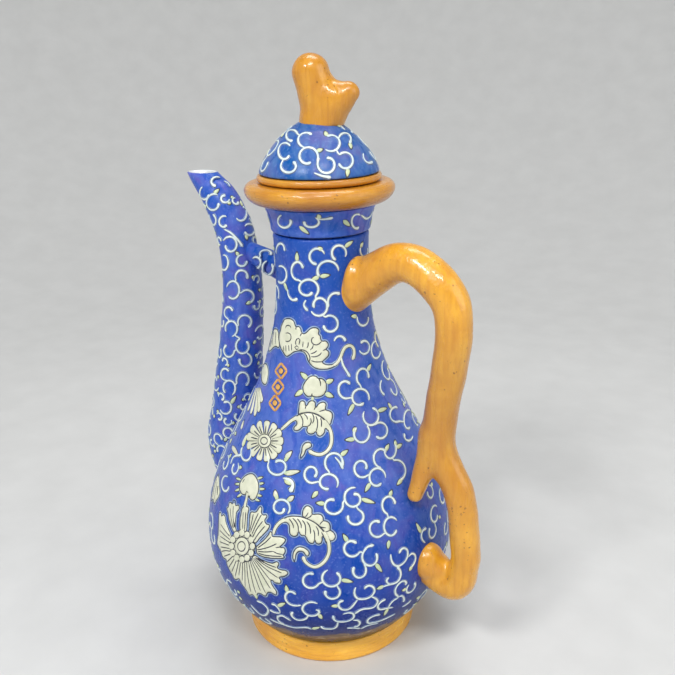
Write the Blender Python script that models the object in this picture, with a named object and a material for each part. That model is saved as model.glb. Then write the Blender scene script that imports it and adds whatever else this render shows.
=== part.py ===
"""Blue-enamelled stoneware ewer with a branch handle, luted together from separate clay pieces.

Units are metres and +Z is up. The foot stands on z = 0 with its centre on the origin, the handle
points along +X and the spout along -X. The lid's pieces hang on the empty lid_axis, at the lid's seat.
"""
import math

import bpy
from mathutils import Vector

# Clearances
SLIP = 0.0003              # joint left between luted pieces
LID_PLAY = 0.0010          # radial play of the lid's collar in the mouth

# Foot and floor
FOOT_HEIGHT = 0.0090
FOOT_RADIUS = 0.0363       # on the table
FOOT_TOP_RADIUS = 0.0353
FOOT_WIDTH = 0.0058
FOOT_EDGE = 0.0008         # chamfer on the standing edge
FLOOR_THICKNESS = 0.0042

# Pear-shaped body and neck, from the lower edge to the groove under the collar
BODY_WALL = 0.0034
BASE_RADIUS = 0.0364
BELLY_RADIUS = 0.0519
NECK_RADIUS = 0.0185
NECK_TOP_RADIUS = 0.0189
BELLY_RISE = 0.0366        # lower edge to the widest ring
SHOULDER_RISE = 0.1088     # widest ring to the neck's waist
NECK_RISE = 0.0170         # waist to the groove
NECK_JOINT_UP = 0.0601     # widest ring to the joint where the neck is luted on
BASE_FLARE = 0.0130        # how far the lower edge keeps its slope
BELLY_FULLNESS = 0.0160    # how far the widest ring stays upright, below
SHOULDER_FULLNESS = 0.0394
NECK_FULLNESS = 0.0518
BASE_SLOPE = math.radians(48)

# Neck collar and rolled mouth rim
COLLAR_RISE = 0.0100
COLLAR_RADIUS = 0.0219
MOUTH_BORE = 0.0182
RIM_RISE = 0.0077
RIM_RADIUS = 0.0282
RIM_LIP = 0.0025           # rounding of the rim's upper edge

# Lid
LID_WALL = 0.0028
LID_COLLAR_DEPTH = 0.0090
FLANGE_THICKNESS = 0.0026
FLANGE_RADIUS = 0.0234
DOME_RADIUS = 0.0225
DOME_RISE = 0.0206
KNOB_RADIUS = 0.0069
KNOB_RISE = 0.0211         # above the dome's crown
KNOB_LEAN = 0.0020
KNOB_TURN = math.radians(25)
TWIG_RADIUS = 0.0041
TWIG_ROOT_RADIUS = 0.0056
TWIG_REACH = 0.0157
TWIG_RISE = 0.0072

# Branch handle: gaps are from the body to the branch, heights from its roots
HANDLE_ROOT_RADIUS = 0.0090  # at the upper root
HANDLE_RADIUS = 0.0074     # at the upper bend
HANDLE_STEM = 0.0068
HANDLE_FORK = 0.0064
HANDLE_SLIM = 0.0059       # at the lower bow
HANDLE_HOOK = 0.0067       # under the lower bend
HANDLE_KNUCKLE = 0.0090    # at the lower root
UPPER_ROOT_DROP = 0.0070   # upper root below the neck's waist
LOWER_ROOT_DROP = 0.0018   # lower root below the widest ring
CREST_GAP = 0.0096
CREST_UP = 0.0156
BEND_GAP = 0.0268
BEND_UP = 0.0092
STEM_GAP = 0.0323
STEM_DOWN = 0.0074
FORK_GAP = 0.0137
FORK_UP = 0.0552           # fork above the lower root
CALF_GAP = 0.0124
CALF_UP = 0.0337
BOW_GAP = 0.0089
BOW_UP = 0.0122
HEEL_GAP = 0.0078
HEEL_UP = 0.0036
HOOK_GAP = 0.0042
HOOK_DOWN = 0.0050
SPUR_RADIUS = 0.0042
SPUR_TIP_RADIUS = 0.0033
SPUR_TIP_UP = 0.0322
SPUR_ASIDE = 0.0066        # the spur's tip leans to one side of the handle

# Spout, strainer and bridge
SPOUT_WALL = 0.0026        # at the root
SPOUT_LIP = 0.0010         # wall at the mouth
SPOUT_ROOT_RADIUS = 0.0127
SPOUT_CALF_RADIUS = 0.0109
SPOUT_SHIN_RADIUS = 0.0094
SPOUT_WAIST_RADIUS = 0.0083
SPOUT_THROAT_RADIUS = 0.0073
SPOUT_TIP_RADIUS = 0.0054
SPOUT_BULGE = 0.0012       # bulge's centre outside the widest ring
SPOUT_BULGE_UP = 0.0185
SPOUT_CALF_GAP = 0.0008
SPOUT_CALF_UP = 0.0405
SPOUT_SHIN_GAP = 0.0116
SPOUT_SHIN_UP = 0.0705
SPOUT_WAIST_GAP = 0.0160
SPOUT_WAIST_DROP = 0.0115  # below the neck's waist
SPOUT_THROAT_GAP = 0.0190
SPOUT_THROAT_UP = 0.0090   # above the neck's waist
SPOUT_BEND_GAP = 0.0264
SPOUT_BEND_UP = 0.0233
SPOUT_TIP_GAP = 0.0440     # centre of the mouth from the neck
SPOUT_TIP_DROP = 0.0012    # mouth below the rim's top
STRAINER_BORE = 0.0023
STRAINER_RING = 0.0064
STRAINER_UP = 0.0090       # above the widest ring
STRAINER_RING_HOLES = 6
BRIDGE_NECK_RADIUS = 0.0060
BRIDGE_SPOUT_RADIUS = 0.0045
BRIDGE_SLOPE = 0.0050      # how far the bridge climbs towards the spout
BRIDGE_FLATNESS = 0.78     # its width as a share of its height

# Shape factors of the curves
COLLAR_FLARE = 0.3         # how level the collar's top edge runs out
RIM_ROLL = 0.65            # how upright the rim's outer side stays
RIM_TUCK = 0.4             # how far its underside runs level
CROWN_SWELL = 0.62         # how wide the dome's crown stays round
CROWN_DROP = 0.17
DOME_FOOT_DRAW = 0.96      # how upright the dome's lower edge stands
DOME_FOOT_RISE = 0.2
ROOT_BITE = 1.3            # how deep the spout's line starts inside the belly
KNOB_FLARE = 1.15          # spread of the knob on the dome
SPUR_BOW = 0.4             # sideways lean of the spur's middle
HOOK_SAG = 0.7             # how far the lower root keeps the hook's drop
BRIDGE_TILT = 0.7

# Facets
LATHE_STEPS = 36
TUBE_SIDES = 18
CURVE_STEPS = 4
STRAINER_SIDES = 10
TIP_TURN = math.radians(84)

# Heights that follow from the sizes above
BODY_Z = FOOT_HEIGHT + SLIP
BELLY_Z = BODY_Z + BELLY_RISE
WAIST_Z = BELLY_Z + SHOULDER_RISE
GROOVE_Z = WAIST_Z + NECK_RISE
NECK_JOINT_Z = BELLY_Z + NECK_JOINT_UP
COLLAR_Z = GROOVE_Z + SLIP
RIM_Z = COLLAR_Z + COLLAR_RISE + SLIP
SEAT_Z = RIM_Z + RIM_RISE + SLIP
UPPER_ROOT_Z = WAIST_Z - UPPER_ROOT_DROP
LOWER_ROOT_Z = BELLY_Z - LOWER_ROOT_DROP
CROWN_Z = FLANGE_THICKNESS + SLIP + DOME_RISE

ENAMEL_BLUE = (0.035, 0.075, 0.42)
OCHRE_CLAY = (0.62, 0.30, 0.055)
BROWN_CLAY = (0.16, 0.10, 0.07)


def clear_scene():
    for obj in list(bpy.data.objects):
        bpy.data.objects.remove(obj)


def bezier(start, leave, arrive, end, steps):
    """Points of one cubic curve from start to end, both included."""
    points = []
    for step in range(steps + 1):
        t = step / steps
        weights = ((1 - t) ** 3, 3 * t * (1 - t) ** 2, 3 * t * t * (1 - t), t ** 3)
        knots = (start, leave, arrive, end)
        points.append(tuple(sum(w * k[axis] for w, k in zip(weights, knots)) for axis in (0, 1)))
    return points


def smooth_path(keys):
    """A smooth run through keys of (x, y, z, radius), with CURVE_STEPS steps between two keys."""
    knots = [Vector(key) for key in keys]
    knots = [2 * knots[0] - knots[1]] + knots + [2 * knots[-1] - knots[-2]]
    path = []
    for before, start, end, after in zip(knots, knots[1:], knots[2:], knots[3:]):
        for step in range(CURVE_STEPS):
            t = step / CURVE_STEPS
            leave = (end - before) / 2
            arrive = (after - start) / 2
            path.append(start * (2 * t ** 3 - 3 * t ** 2 + 1) + leave * (t ** 3 - 2 * t ** 2 + t)
                        + end * (3 * t ** 2 - 2 * t ** 3) + arrive * (t ** 3 - t ** 2))
    return path + [knots[-2]]


def rounded_tip(path):
    """The path with a half-round end added after its last point."""
    last = path[-1]
    heading = (last - path[-2]).xyz.normalized()
    tip = []
    for step in range(1, CURVE_STEPS + 1):
        turn = step / CURVE_STEPS * TIP_TURN
        centre = last.xyz + heading * last.w * math.sin(turn)
        tip.append(Vector((*centre, last.w * math.cos(turn))))
    return path + tip


def body_outline():
    """Outer (radius, z) points of body and neck, from the lower edge up to the groove."""
    slope = (BASE_FLARE * math.cos(BASE_SLOPE), BASE_FLARE * math.sin(BASE_SLOPE))
    lower = bezier((BASE_RADIUS, BODY_Z), (BASE_RADIUS + slope[0], BODY_Z + slope[1]),
                   (BELLY_RADIUS, BELLY_Z - BELLY_FULLNESS), (BELLY_RADIUS, BELLY_Z), 6)
    upper = bezier((BELLY_RADIUS, BELLY_Z), (BELLY_RADIUS, BELLY_Z + SHOULDER_FULLNESS),
                   (NECK_RADIUS, WAIST_Z - NECK_FULLNESS), (NECK_RADIUS, WAIST_Z), 11)
    neck = bezier((NECK_RADIUS, WAIST_Z), (NECK_RADIUS, WAIST_Z + NECK_RISE / 3),
                  (NECK_TOP_RADIUS, GROOVE_Z - NECK_RISE / 3), (NECK_TOP_RADIUS, GROOVE_Z), 2)
    return lower + upper[1:] + neck[1:]


def shifted(outline, distance):
    """The outline moved sideways so that the distance square to it is the one given."""
    moved = []
    for index, (radius, z) in enumerate(outline):
        below = outline[max(index - 1, 0)]
        above = outline[min(index + 1, len(outline) - 1)]
        lean = (above[0] - below[0]) / (above[1] - below[1])
        moved.append((radius + distance * math.hypot(1, lean), z))
    return moved


def radius_at(outline, z):
    for below, above in zip(outline, outline[1:]):
        if z <= above[1]:
            share = (z - below[1]) / (above[1] - below[1])
            return below[0] + share * (above[0] - below[0])
    return outline[-1][0]


def enamel(name, colour, roughness):
    material = bpy.data.materials.new(name)
    material.use_nodes = True
    shader = material.node_tree.nodes["Principled BSDF"]
    shader.inputs["Base Color"].default_value = (*colour, 1)
    shader.inputs["Roughness"].default_value = roughness
    shader.inputs["Metallic"].default_value = 0
    return material


def add_object(name, vertices, edges, faces, parent=None):
    mesh = bpy.data.meshes.new(name)
    mesh.from_pydata(vertices, edges, faces)
    obj = bpy.data.objects.new(name, mesh)
    bpy.context.collection.objects.link(obj)
    obj.parent = parent
    return obj


def finish(obj, colour, roughness):
    obj.data.materials.append(enamel(obj.name + "_finish", colour, roughness))


def as_cutter(obj):
    obj.hide_render = True
    obj.display_type = 'WIRE'
    return obj


def cut(obj, *cutters):
    for cutter in cutters:
        boolean = obj.modifiers.new(cutter.name, 'BOOLEAN')
        boolean.operation = 'DIFFERENCE'
        boolean.solver = 'EXACT'
        boolean.object = cutter


def lathe(name, profile, closed=True, parent=None):
    """Turn a profile of (radius, z) points round Z; it runs down the outer side first."""
    vertices = [(radius, 0, z) for radius, z in profile]
    edges = [(i, i + 1) for i in range(len(profile) - 1)]
    if closed:
        edges.append((len(profile) - 1, 0))
    obj = add_object(name, vertices, edges, [], parent)
    screw = obj.modifiers.new("turn", 'SCREW')
    screw.axis = 'Z'
    screw.steps = LATHE_STEPS
    screw.render_steps = LATHE_STEPS
    screw.use_merge_vertices = True
    screw.merge_threshold = 0.00001
    screw.use_smooth_shade = True
    return obj


def sweep(name, path, grow=0, flatness=1, parent=None):
    """Skin a tube of round rings along a path of (x, y, z, radius), close to the XZ plane."""
    vertices = []
    for index, place in enumerate(path):
        ahead = path[min(index + 1, len(path) - 1)]
        behind = path[max(index - 1, 0)]
        heading = (ahead - behind).xyz.normalized()
        up = heading.cross(Vector((0, 1, 0))).normalized()
        aside = up.cross(heading)
        for side in range(TUBE_SIDES):
            turn = 2 * math.pi * side / TUBE_SIDES
            spoke = up * math.cos(turn) + aside * math.sin(turn) * flatness
            vertices.append(place.xyz + spoke * (place.w + grow))
    faces = []
    for ring in range(len(path) - 1):
        for side in range(TUBE_SIDES):
            low = ring * TUBE_SIDES
            after = (side + 1) % TUBE_SIDES
            faces.append((low + side, low + TUBE_SIDES + side, low + TUBE_SIDES + after, low + after))
    last = (len(path) - 1) * TUBE_SIDES
    faces.append(tuple(range(TUBE_SIDES)))
    faces.append(tuple(reversed(range(last, last + TUBE_SIDES))))
    obj = add_object(name, vertices, [], faces, parent)
    for polygon in obj.data.polygons:
        polygon.use_smooth = True
    return obj


def foot_ring():
    inner = FOOT_TOP_RADIUS - FOOT_WIDTH
    profile = [(inner, FOOT_HEIGHT), (FOOT_TOP_RADIUS, FOOT_HEIGHT),
               (FOOT_RADIUS, FOOT_EDGE), (FOOT_RADIUS - FOOT_EDGE, 0),
               (inner + FOOT_EDGE, 0), (inner, FOOT_EDGE)]
    obj = lathe("foot_ring", profile)
    finish(obj, OCHRE_CLAY, 0.35)


def base_disc(inner_outline):
    top = BODY_Z + FLOOR_THICKNESS
    rim_low = radius_at(inner_outline, BODY_Z) - 2 * SLIP
    rim_high = radius_at(inner_outline, top) - 2 * SLIP
    obj = lathe("base_disc", [(0, top), (rim_high, top), (rim_low, BODY_Z), (0, BODY_Z)], closed=False)
    finish(obj, BROWN_CLAY, 0.8)


def stretch(outline, low, high):
    """The points of an outline between two heights, with both ends cut level."""
    middle = [place for place in outline if low < place[1] < high]
    return [(radius_at(outline, low), low)] + middle + [(radius_at(outline, high), high)]


def pear_body(outline, inner_outline, strainer):
    outer = stretch(outline, BODY_Z, NECK_JOINT_Z)
    obj = lathe("pear_body", outer[::-1] + stretch(inner_outline, BODY_Z, NECK_JOINT_Z))
    cut(obj, strainer)
    finish(obj, ENAMEL_BLUE, 0.25)


def neck(outline, inner_outline):
    low = NECK_JOINT_Z + SLIP
    outer = stretch(outline, low, GROOVE_Z)
    obj = lathe("neck", outer[::-1] + stretch(inner_outline, low, GROOVE_Z))
    finish(obj, ENAMEL_BLUE, 0.25)


def body_cutter(outline):
    """The body's filled outline, one slip joint larger, which shapes the roots of what is luted on."""
    skin = shifted(outline, SLIP)
    profile = [(0, GROOVE_Z)] + skin[::-1] + [(0, BODY_Z)]
    return as_cutter(lathe("body_cutter", profile, closed=False))


def neck_collar(inner_outline):
    bottom_bore = inner_outline[-1][0]
    top = COLLAR_Z + COLLAR_RISE
    flare = COLLAR_FLARE * (COLLAR_RADIUS - NECK_TOP_RADIUS)
    outer = bezier((COLLAR_RADIUS, top), (COLLAR_RADIUS - flare, top),
                   (NECK_TOP_RADIUS, COLLAR_Z + COLLAR_RISE / 2), (NECK_TOP_RADIUS, COLLAR_Z), 6)
    inner = bezier((bottom_bore, COLLAR_Z), (bottom_bore, COLLAR_Z + COLLAR_RISE / 2),
                   (MOUTH_BORE, top - COLLAR_RISE / 3), (MOUTH_BORE, top), 3)
    obj = lathe("neck_collar", outer + inner)
    finish(obj, ENAMEL_BLUE, 0.25)


def mouth_rim():
    top = RIM_Z + RIM_RISE
    lip = bezier((RIM_RADIUS - RIM_LIP, top), (RIM_RADIUS - RIM_LIP / 2, top),
                 (RIM_RADIUS, top - RIM_LIP / 2), (RIM_RADIUS, top - RIM_LIP), 3)
    roll = bezier((RIM_RADIUS, top - RIM_LIP), (RIM_RADIUS, top - RIM_RISE * RIM_ROLL),
                  (RIM_RADIUS - RIM_TUCK * (RIM_RADIUS - COLLAR_RADIUS), RIM_Z), (COLLAR_RADIUS, RIM_Z), 5)
    obj = lathe("mouth_rim", [(MOUTH_BORE, top)] + lip + roll[1:] + [(MOUTH_BORE, RIM_Z)])
    finish(obj, OCHRE_CLAY, 0.3)


def spout_path():
    """Centre line of the spout as (x, y, z, radius), on the -X side, past its mouth at the end."""
    outline = body_outline()
    throat_radius = (SPOUT_WAIST_RADIUS + SPOUT_THROAT_RADIUS) / 2
    stations = ((SPOUT_CALF_GAP, BELLY_Z + SPOUT_CALF_UP, SPOUT_CALF_RADIUS),
                (SPOUT_SHIN_GAP, BELLY_Z + SPOUT_SHIN_UP, SPOUT_SHIN_RADIUS),
                (SPOUT_WAIST_GAP, WAIST_Z - SPOUT_WAIST_DROP, SPOUT_WAIST_RADIUS),
                (SPOUT_THROAT_GAP, WAIST_Z + SPOUT_THROAT_UP, throat_radius),
                (SPOUT_BEND_GAP, WAIST_Z + SPOUT_BEND_UP, SPOUT_THROAT_RADIUS))
    root_depth = SPOUT_ROOT_RADIUS * ROOT_BITE
    keys = [(root_depth - BELLY_RADIUS, 0, BELLY_Z + SPOUT_BULGE_UP - 2 * root_depth, SPOUT_ROOT_RADIUS),
            (-BELLY_RADIUS - SPOUT_BULGE, 0, BELLY_Z + SPOUT_BULGE_UP, SPOUT_ROOT_RADIUS)]
    for gap, z, radius in stations:
        keys.append((-radius_at(outline, z) - gap - radius, 0, z, radius))
    keys.append((-NECK_RADIUS - SPOUT_TIP_GAP, 0, mouth_height(), SPOUT_TIP_RADIUS))
    path = smooth_path(keys)
    past_mouth = path[-1].xyz + (path[-1] - path[-2]).xyz.normalized() * 2 * SPOUT_TIP_RADIUS
    return path + [Vector((*past_mouth, SPOUT_TIP_RADIUS))]


def mouth_height():
    return RIM_Z + RIM_RISE - SPOUT_TIP_DROP


def spout_bore(path):
    """The hollow of the spout: its wall thins steadily from SPOUT_WALL to SPOUT_LIP."""
    bore = []
    for index, place in enumerate(path):
        wall = SPOUT_WALL + (SPOUT_LIP - SPOUT_WALL) * index / (len(path) - 1)
        bore.append(Vector((*place.xyz, place.w - wall)))
    return [2 * bore[0] - bore[1]] + bore + [2 * bore[-1] - bore[-2]]


def spout(path, body):
    obj = sweep("spout", path)
    reach = BELLY_RADIUS + SPOUT_TIP_GAP + SPOUT_ROOT_RADIUS
    low = mouth_height()
    corners = [(x, y, z) for z in (low, low + reach) for y in (-reach, reach) for x in (-2 * reach, 0)]
    sides = [(0, 2, 3, 1), (4, 5, 7, 6), (0, 1, 5, 4), (2, 6, 7, 3), (0, 4, 6, 2), (1, 3, 7, 5)]
    mouth = as_cutter(add_object("mouth_cutter", corners, [], sides))
    bore = as_cutter(sweep("bore_cutter", spout_bore(path)))
    cut(obj, bore, body, mouth)
    finish(obj, ENAMEL_BLUE, 0.25)


def strainer_cutter():
    """Round holes through the body's wall behind the spout: one in the middle and a ring of others."""
    middle = BELLY_Z + STRAINER_UP
    places = [(0, middle)]
    for hole in range(STRAINER_RING_HOLES):
        turn = 2 * math.pi * hole / STRAINER_RING_HOLES
        places.append((STRAINER_RING * math.sin(turn), middle + STRAINER_RING * math.cos(turn)))
    sides = STRAINER_SIDES
    vertices = []
    faces = []
    for y, z in places:
        first = len(vertices)
        for x in (-BELLY_RADIUS - BODY_WALL, BODY_WALL * 3 - BELLY_RADIUS):
            for side in range(sides):
                turn = 2 * math.pi * side / sides
                vertices.append((x, y + STRAINER_BORE * math.cos(turn), z + STRAINER_BORE * math.sin(turn)))
        for side in range(sides):
            after = (side + 1) % sides
            faces.append((first + side, first + after, first + sides + after, first + sides + side))
        faces.append(tuple(reversed(range(first, first + sides))))
        faces.append(tuple(range(first + sides, first + 2 * sides)))
    return as_cutter(add_object("strainer_cutter", vertices, [], faces))


def spout_bridge(path, body):
    waist = min(path, key=lambda place: abs(place.z - WAIST_Z))
    start = (-NECK_RADIUS / 2, 0, WAIST_Z - BRIDGE_SLOPE * BRIDGE_TILT, BRIDGE_NECK_RADIUS)
    end = (waist.x, 0, WAIST_Z + BRIDGE_SLOPE * BRIDGE_TILT, BRIDGE_SPOUT_RADIUS)
    obj = sweep("spout_bridge", smooth_path([start, end]), flatness=BRIDGE_FLATNESS)
    skin = as_cutter(sweep("spout_cutter", path, grow=SLIP))
    cut(obj, body, skin)
    finish(obj, ENAMEL_BLUE, 0.25)


def handle_path():
    """Centre line of the branch as (x, y, z, radius), from inside the neck to inside the belly."""
    outline = body_outline()
    stations = ((CREST_GAP, UPPER_ROOT_Z + CREST_UP, HANDLE_RADIUS),
                (BEND_GAP, UPPER_ROOT_Z + BEND_UP, HANDLE_RADIUS),
                (STEM_GAP, UPPER_ROOT_Z - STEM_DOWN, HANDLE_STEM),
                (FORK_GAP, LOWER_ROOT_Z + FORK_UP, HANDLE_FORK),
                (CALF_GAP, LOWER_ROOT_Z + CALF_UP, HANDLE_SLIM),
                (BOW_GAP, LOWER_ROOT_Z + BOW_UP, HANDLE_SLIM),
                (HEEL_GAP, LOWER_ROOT_Z + HEEL_UP, HANDLE_SLIM),
                (HOOK_GAP, LOWER_ROOT_Z - HOOK_DOWN, HANDLE_HOOK))
    keys = [(NECK_RADIUS - HANDLE_RADIUS, 0, UPPER_ROOT_Z, HANDLE_ROOT_RADIUS)]
    for gap, z, radius in stations:
        keys.append((radius_at(outline, z) + gap + radius, 0, z, radius))
    keys.append((BELLY_RADIUS + HANDLE_KNUCKLE / 4, 0, LOWER_ROOT_Z - HOOK_DOWN * HOOK_SAG,
                 (HANDLE_HOOK + HANDLE_KNUCKLE) / 2))
    keys.append((BELLY_RADIUS - HANDLE_KNUCKLE, 0, LOWER_ROOT_Z + HOOK_DOWN / 2, HANDLE_KNUCKLE))
    return smooth_path(keys)


def handle(path, body):
    obj = sweep("handle", path)
    cut(obj, body)
    finish(obj, OCHRE_CLAY, 0.3)


def handle_spur(path, body):
    fork = min(path, key=lambda place: abs(place.z - LOWER_ROOT_Z - FORK_UP))
    above = path[path.index(fork) - 1]
    tip_z = LOWER_ROOT_Z + SPUR_TIP_UP
    tip_x = radius_at(body_outline(), tip_z) + SPUR_TIP_RADIUS - 2 * SLIP
    middle = ((fork.x + tip_x) / 2, -SPUR_ASIDE * SPUR_BOW, (fork.z + tip_z) / 2, SPUR_RADIUS)
    keys = [(*above.xyz.lerp(fork.xyz, 0.5), SPUR_RADIUS), middle,
            (tip_x, -SPUR_ASIDE, tip_z, SPUR_TIP_RADIUS)]
    obj = sweep("handle_spur", rounded_tip(smooth_path(keys)))
    skin = as_cutter(sweep("handle_cutter", path, grow=SLIP))
    cut(obj, skin, body)
    finish(obj, OCHRE_CLAY, 0.3)


def lid_collar(parent):
    outer = MOUTH_BORE - LID_PLAY
    inner = outer - LID_WALL
    profile = [(outer, -SLIP), (outer, -LID_COLLAR_DEPTH), (inner, -LID_COLLAR_DEPTH), (inner, -SLIP)]
    obj = lathe("lid_collar", profile, parent=parent)
    finish(obj, BROWN_CLAY, 0.6)


def lid_flange(parent):
    inner = MOUTH_BORE - LID_PLAY - LID_WALL
    edge = FLANGE_THICKNESS / 3
    profile = [(inner, FLANGE_THICKNESS), (FLANGE_RADIUS - edge, FLANGE_THICKNESS),
               (FLANGE_RADIUS, FLANGE_THICKNESS - edge), (FLANGE_RADIUS, edge),
               (FLANGE_RADIUS - edge, 0), (inner, 0)]
    obj = lathe("lid_flange", profile, parent=parent)
    finish(obj, OCHRE_CLAY, 0.3)


def dome_outline(inset, steps):
    """Dome profile from its crown down to its base, moved inwards by inset."""
    base = FLANGE_THICKNESS + SLIP
    crown = CROWN_Z - inset
    return bezier((0, crown), (CROWN_SWELL * DOME_RADIUS - inset / 2, crown - CROWN_DROP * DOME_RISE),
                  (DOME_FOOT_DRAW * DOME_RADIUS - inset, base + DOME_FOOT_RISE * DOME_RISE),
                  (DOME_RADIUS - inset, base), steps)


def lid_dome(parent):
    obj = lathe("lid_dome", dome_outline(0, 9) + dome_outline(LID_WALL, 7)[::-1], closed=False, parent=parent)
    finish(obj, ENAMEL_BLUE, 0.25)


def knob_and_twig(parent):
    """The stub that the lid is lifted by, and the short side twig on it."""
    dome = [(0, CROWN_Z + SLIP)] + shifted(dome_outline(0, 9)[1:], SLIP * 1.2) + [(0, FLANGE_THICKNESS)]
    dome_skin = as_cutter(lathe("dome_cutter", dome, closed=False, parent=parent))
    top = CROWN_Z + KNOB_RISE - KNOB_RADIUS
    stub = rounded_tip(smooth_path([(KNOB_LEAN / 2, 0, CROWN_Z - KNOB_RADIUS / 2, KNOB_RADIUS * KNOB_FLARE),
                                    (KNOB_LEAN / 4, 0, CROWN_Z + KNOB_RADIUS / 2, KNOB_RADIUS),
                                    (-KNOB_LEAN, 0, top, KNOB_RADIUS)]))
    twig = rounded_tip(smooth_path([(0, 0, CROWN_Z + TWIG_RISE / 4, TWIG_ROOT_RADIUS),
                                    (TWIG_REACH - TWIG_RADIUS, 0, CROWN_Z + TWIG_RISE, TWIG_RADIUS)]))
    knob = sweep("knob", stub, parent=parent)
    branch = sweep("knob_twig", twig, parent=parent)
    stub_skin = as_cutter(sweep("knob_cutter", stub, grow=SLIP, parent=parent))
    for obj in (knob, branch, stub_skin):
        obj.rotation_euler.z = KNOB_TURN
    cut(knob, dome_skin)
    cut(branch, stub_skin, dome_skin)
    finish(knob, OCHRE_CLAY, 0.3)
    finish(branch, OCHRE_CLAY, 0.3)


def build():
    clear_scene()
    outline = body_outline()
    inner_outline = shifted(outline, -BODY_WALL)
    body = body_cutter(outline)
    foot_ring()
    base_disc(inner_outline)
    pear_body(outline, inner_outline, strainer_cutter())
    neck(outline, inner_outline)
    neck_collar(inner_outline)
    mouth_rim()
    centre_line = spout_path()
    spout(centre_line, body)
    spout_bridge(centre_line, body)
    branch = handle_path()
    handle(branch, body)
    handle_spur(branch, body)
    lid_axis = bpy.data.objects.new("lid_axis", None)
    bpy.context.collection.objects.link(lid_axis)
    lid_axis.location.z = SEAT_Z
    lid_collar(lid_axis)
    lid_flange(lid_axis)
    lid_dome(lid_axis)
    knob_and_twig(lid_axis)


build()
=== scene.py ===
"""Looks of the blue-enamelled ewer: smooth clay pieces, raised slip scrolls, flowers and a soft studio.

Lengths are millimetres until a mesh is made. Angles are degrees where a list says so, else radians.
"""
import math

import bmesh
import bpy
import numpy as np
from mathutils import Matrix, Vector, geometry, kdtree, noise


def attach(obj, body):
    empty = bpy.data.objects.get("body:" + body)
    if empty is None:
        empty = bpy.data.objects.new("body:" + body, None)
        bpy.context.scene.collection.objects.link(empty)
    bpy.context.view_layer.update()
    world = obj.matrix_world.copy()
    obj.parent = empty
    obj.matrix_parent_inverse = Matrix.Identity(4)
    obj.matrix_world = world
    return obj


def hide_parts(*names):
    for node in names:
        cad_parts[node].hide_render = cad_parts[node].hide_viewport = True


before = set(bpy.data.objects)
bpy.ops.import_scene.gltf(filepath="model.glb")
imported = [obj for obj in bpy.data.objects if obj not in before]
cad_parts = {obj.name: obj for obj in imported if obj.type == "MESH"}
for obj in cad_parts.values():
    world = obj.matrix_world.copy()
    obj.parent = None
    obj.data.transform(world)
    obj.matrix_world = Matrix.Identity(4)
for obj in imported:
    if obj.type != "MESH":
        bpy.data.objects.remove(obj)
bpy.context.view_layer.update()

MM = 0.001
TOUCH = 1e-6               # metres within which a point lies on a plane
MERGE = 0.00001            # metres within which points become one
TINY = 1e-9                # keeps a division safe
UP = np.array((0, 0, 1))
MIRROR = (1, -1, 1)

# Camera, fitted to the photograph
PHOTO_SIDE = 675           # pixels
FOCAL = 800                # pixels
SENSOR = 36.0
CAMERA_BEARING = math.radians(39)
CAMERA_BACK = 300.0
CAMERA_UP = 233.9
PAN = 0.0177
PITCH = 0.340
ROLL = 0.0243
RAY_START = 150.0          # from the camera
RAY_STEPS = 90
RAY_SHARE = 0.8            # of the gap still left, taken at each step
RAY_MISS = 0.3             # a ray that ends farther off than this has missed

# Fineness of lines and meshes
CORNER = 40                # degrees; an outline that turns by more has a corner
RING_CORNER = 50           # the same on the foot and the flange
OUTLINE_STEP = 0.6
WALL_STEP = 0.7
SKIN_STEP = 0.25
SKIN_SLIDE = 0.6           # farthest slide along an outline from its nearest place
TUBE_STEP = 1.5
TUBE_SKIN_STEP = 0.5
KNOB_STEP = 1.0
BRIDGE_STEP = 1.0
WEAR = 0.5                 # share by which a worn corner is pulled in
WEAR_ROUNDS = 2
TURNED_SEGMENTS = 144
BODY_SEGMENTS = 160
CORE_SEGMENTS = 96
CROWN_SEGMENTS = 72
LIMB_SIDES = 40
TWIG_SIDES = 32
SPOUT_SIDES = 56
HOLE_SIDES = 20
TIP_STEPS = 8
TIP_TURN = math.radians(87)
SMOOTHING = 12             # rounds of smoothing on worked clay
SMOOTH_SHARE = 0.5
JOIN_ROUNDS = 4
DENT_LEVEL = 0.7           # share by which dents lie below the worked skin

# Body
BELLY_RADIUS = 51.9
BELLY_Z = 45.9
RELIEF = 0.62              # room left for raised slip
LUTE = 1.6                 # how deep luted pieces reach into the wall
BARE_LOW = 18.6            # heights between which enamel gives way to bare clay
BARE_HIGH = 21.0
RIM_LOW = 183.4            # heights between which painted shade browns the rim's underside
RIM_HIGH = 187.0
STRAINER_HOLES = 6         # round one in the middle
STRAINER_RING = 6.4
STRAINER_RISE = 9.0        # above the belly
HOLE_RADIUS = 2.3
HOLE_OUT = 3.0             # how far a hole's cutter reaches out of the belly
HOLE_IN = 10.0             # and into it

# Spout: gap to the body, height, radius
SPOUT_STATIONS = ((0.8, 86.4, 10.9), (11.6, 116.4, 9.4), (16.0, 143.2, 8.3), (19.0, 163.7, 7.8),
                  (26.4, 178.0, 7.3))
SPOUT_ROOT = ((-35.39, 0, 31.38, 12.7), (-53.1, 0, 64.4, 12.7))
SPOUT_TIP = (-62.5, 0, 188.8, 5.4)
SPOUT_WALL = 2.6
SPOUT_LIP = 1.0
LIP_RISE = 0.35
MOUTH_RINGS = 11           # last rings of the spout, which lean to its level mouth
BRIDGE_ENDS = ((-11.5, 0, 151.2, 6.3), (-46.0, 0, 160.2, 3.5))
BRIDGE_FLATNESS = 0.78
BRIDGE_SINK = 1.0          # how far the bridge reaches into the spout

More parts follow.
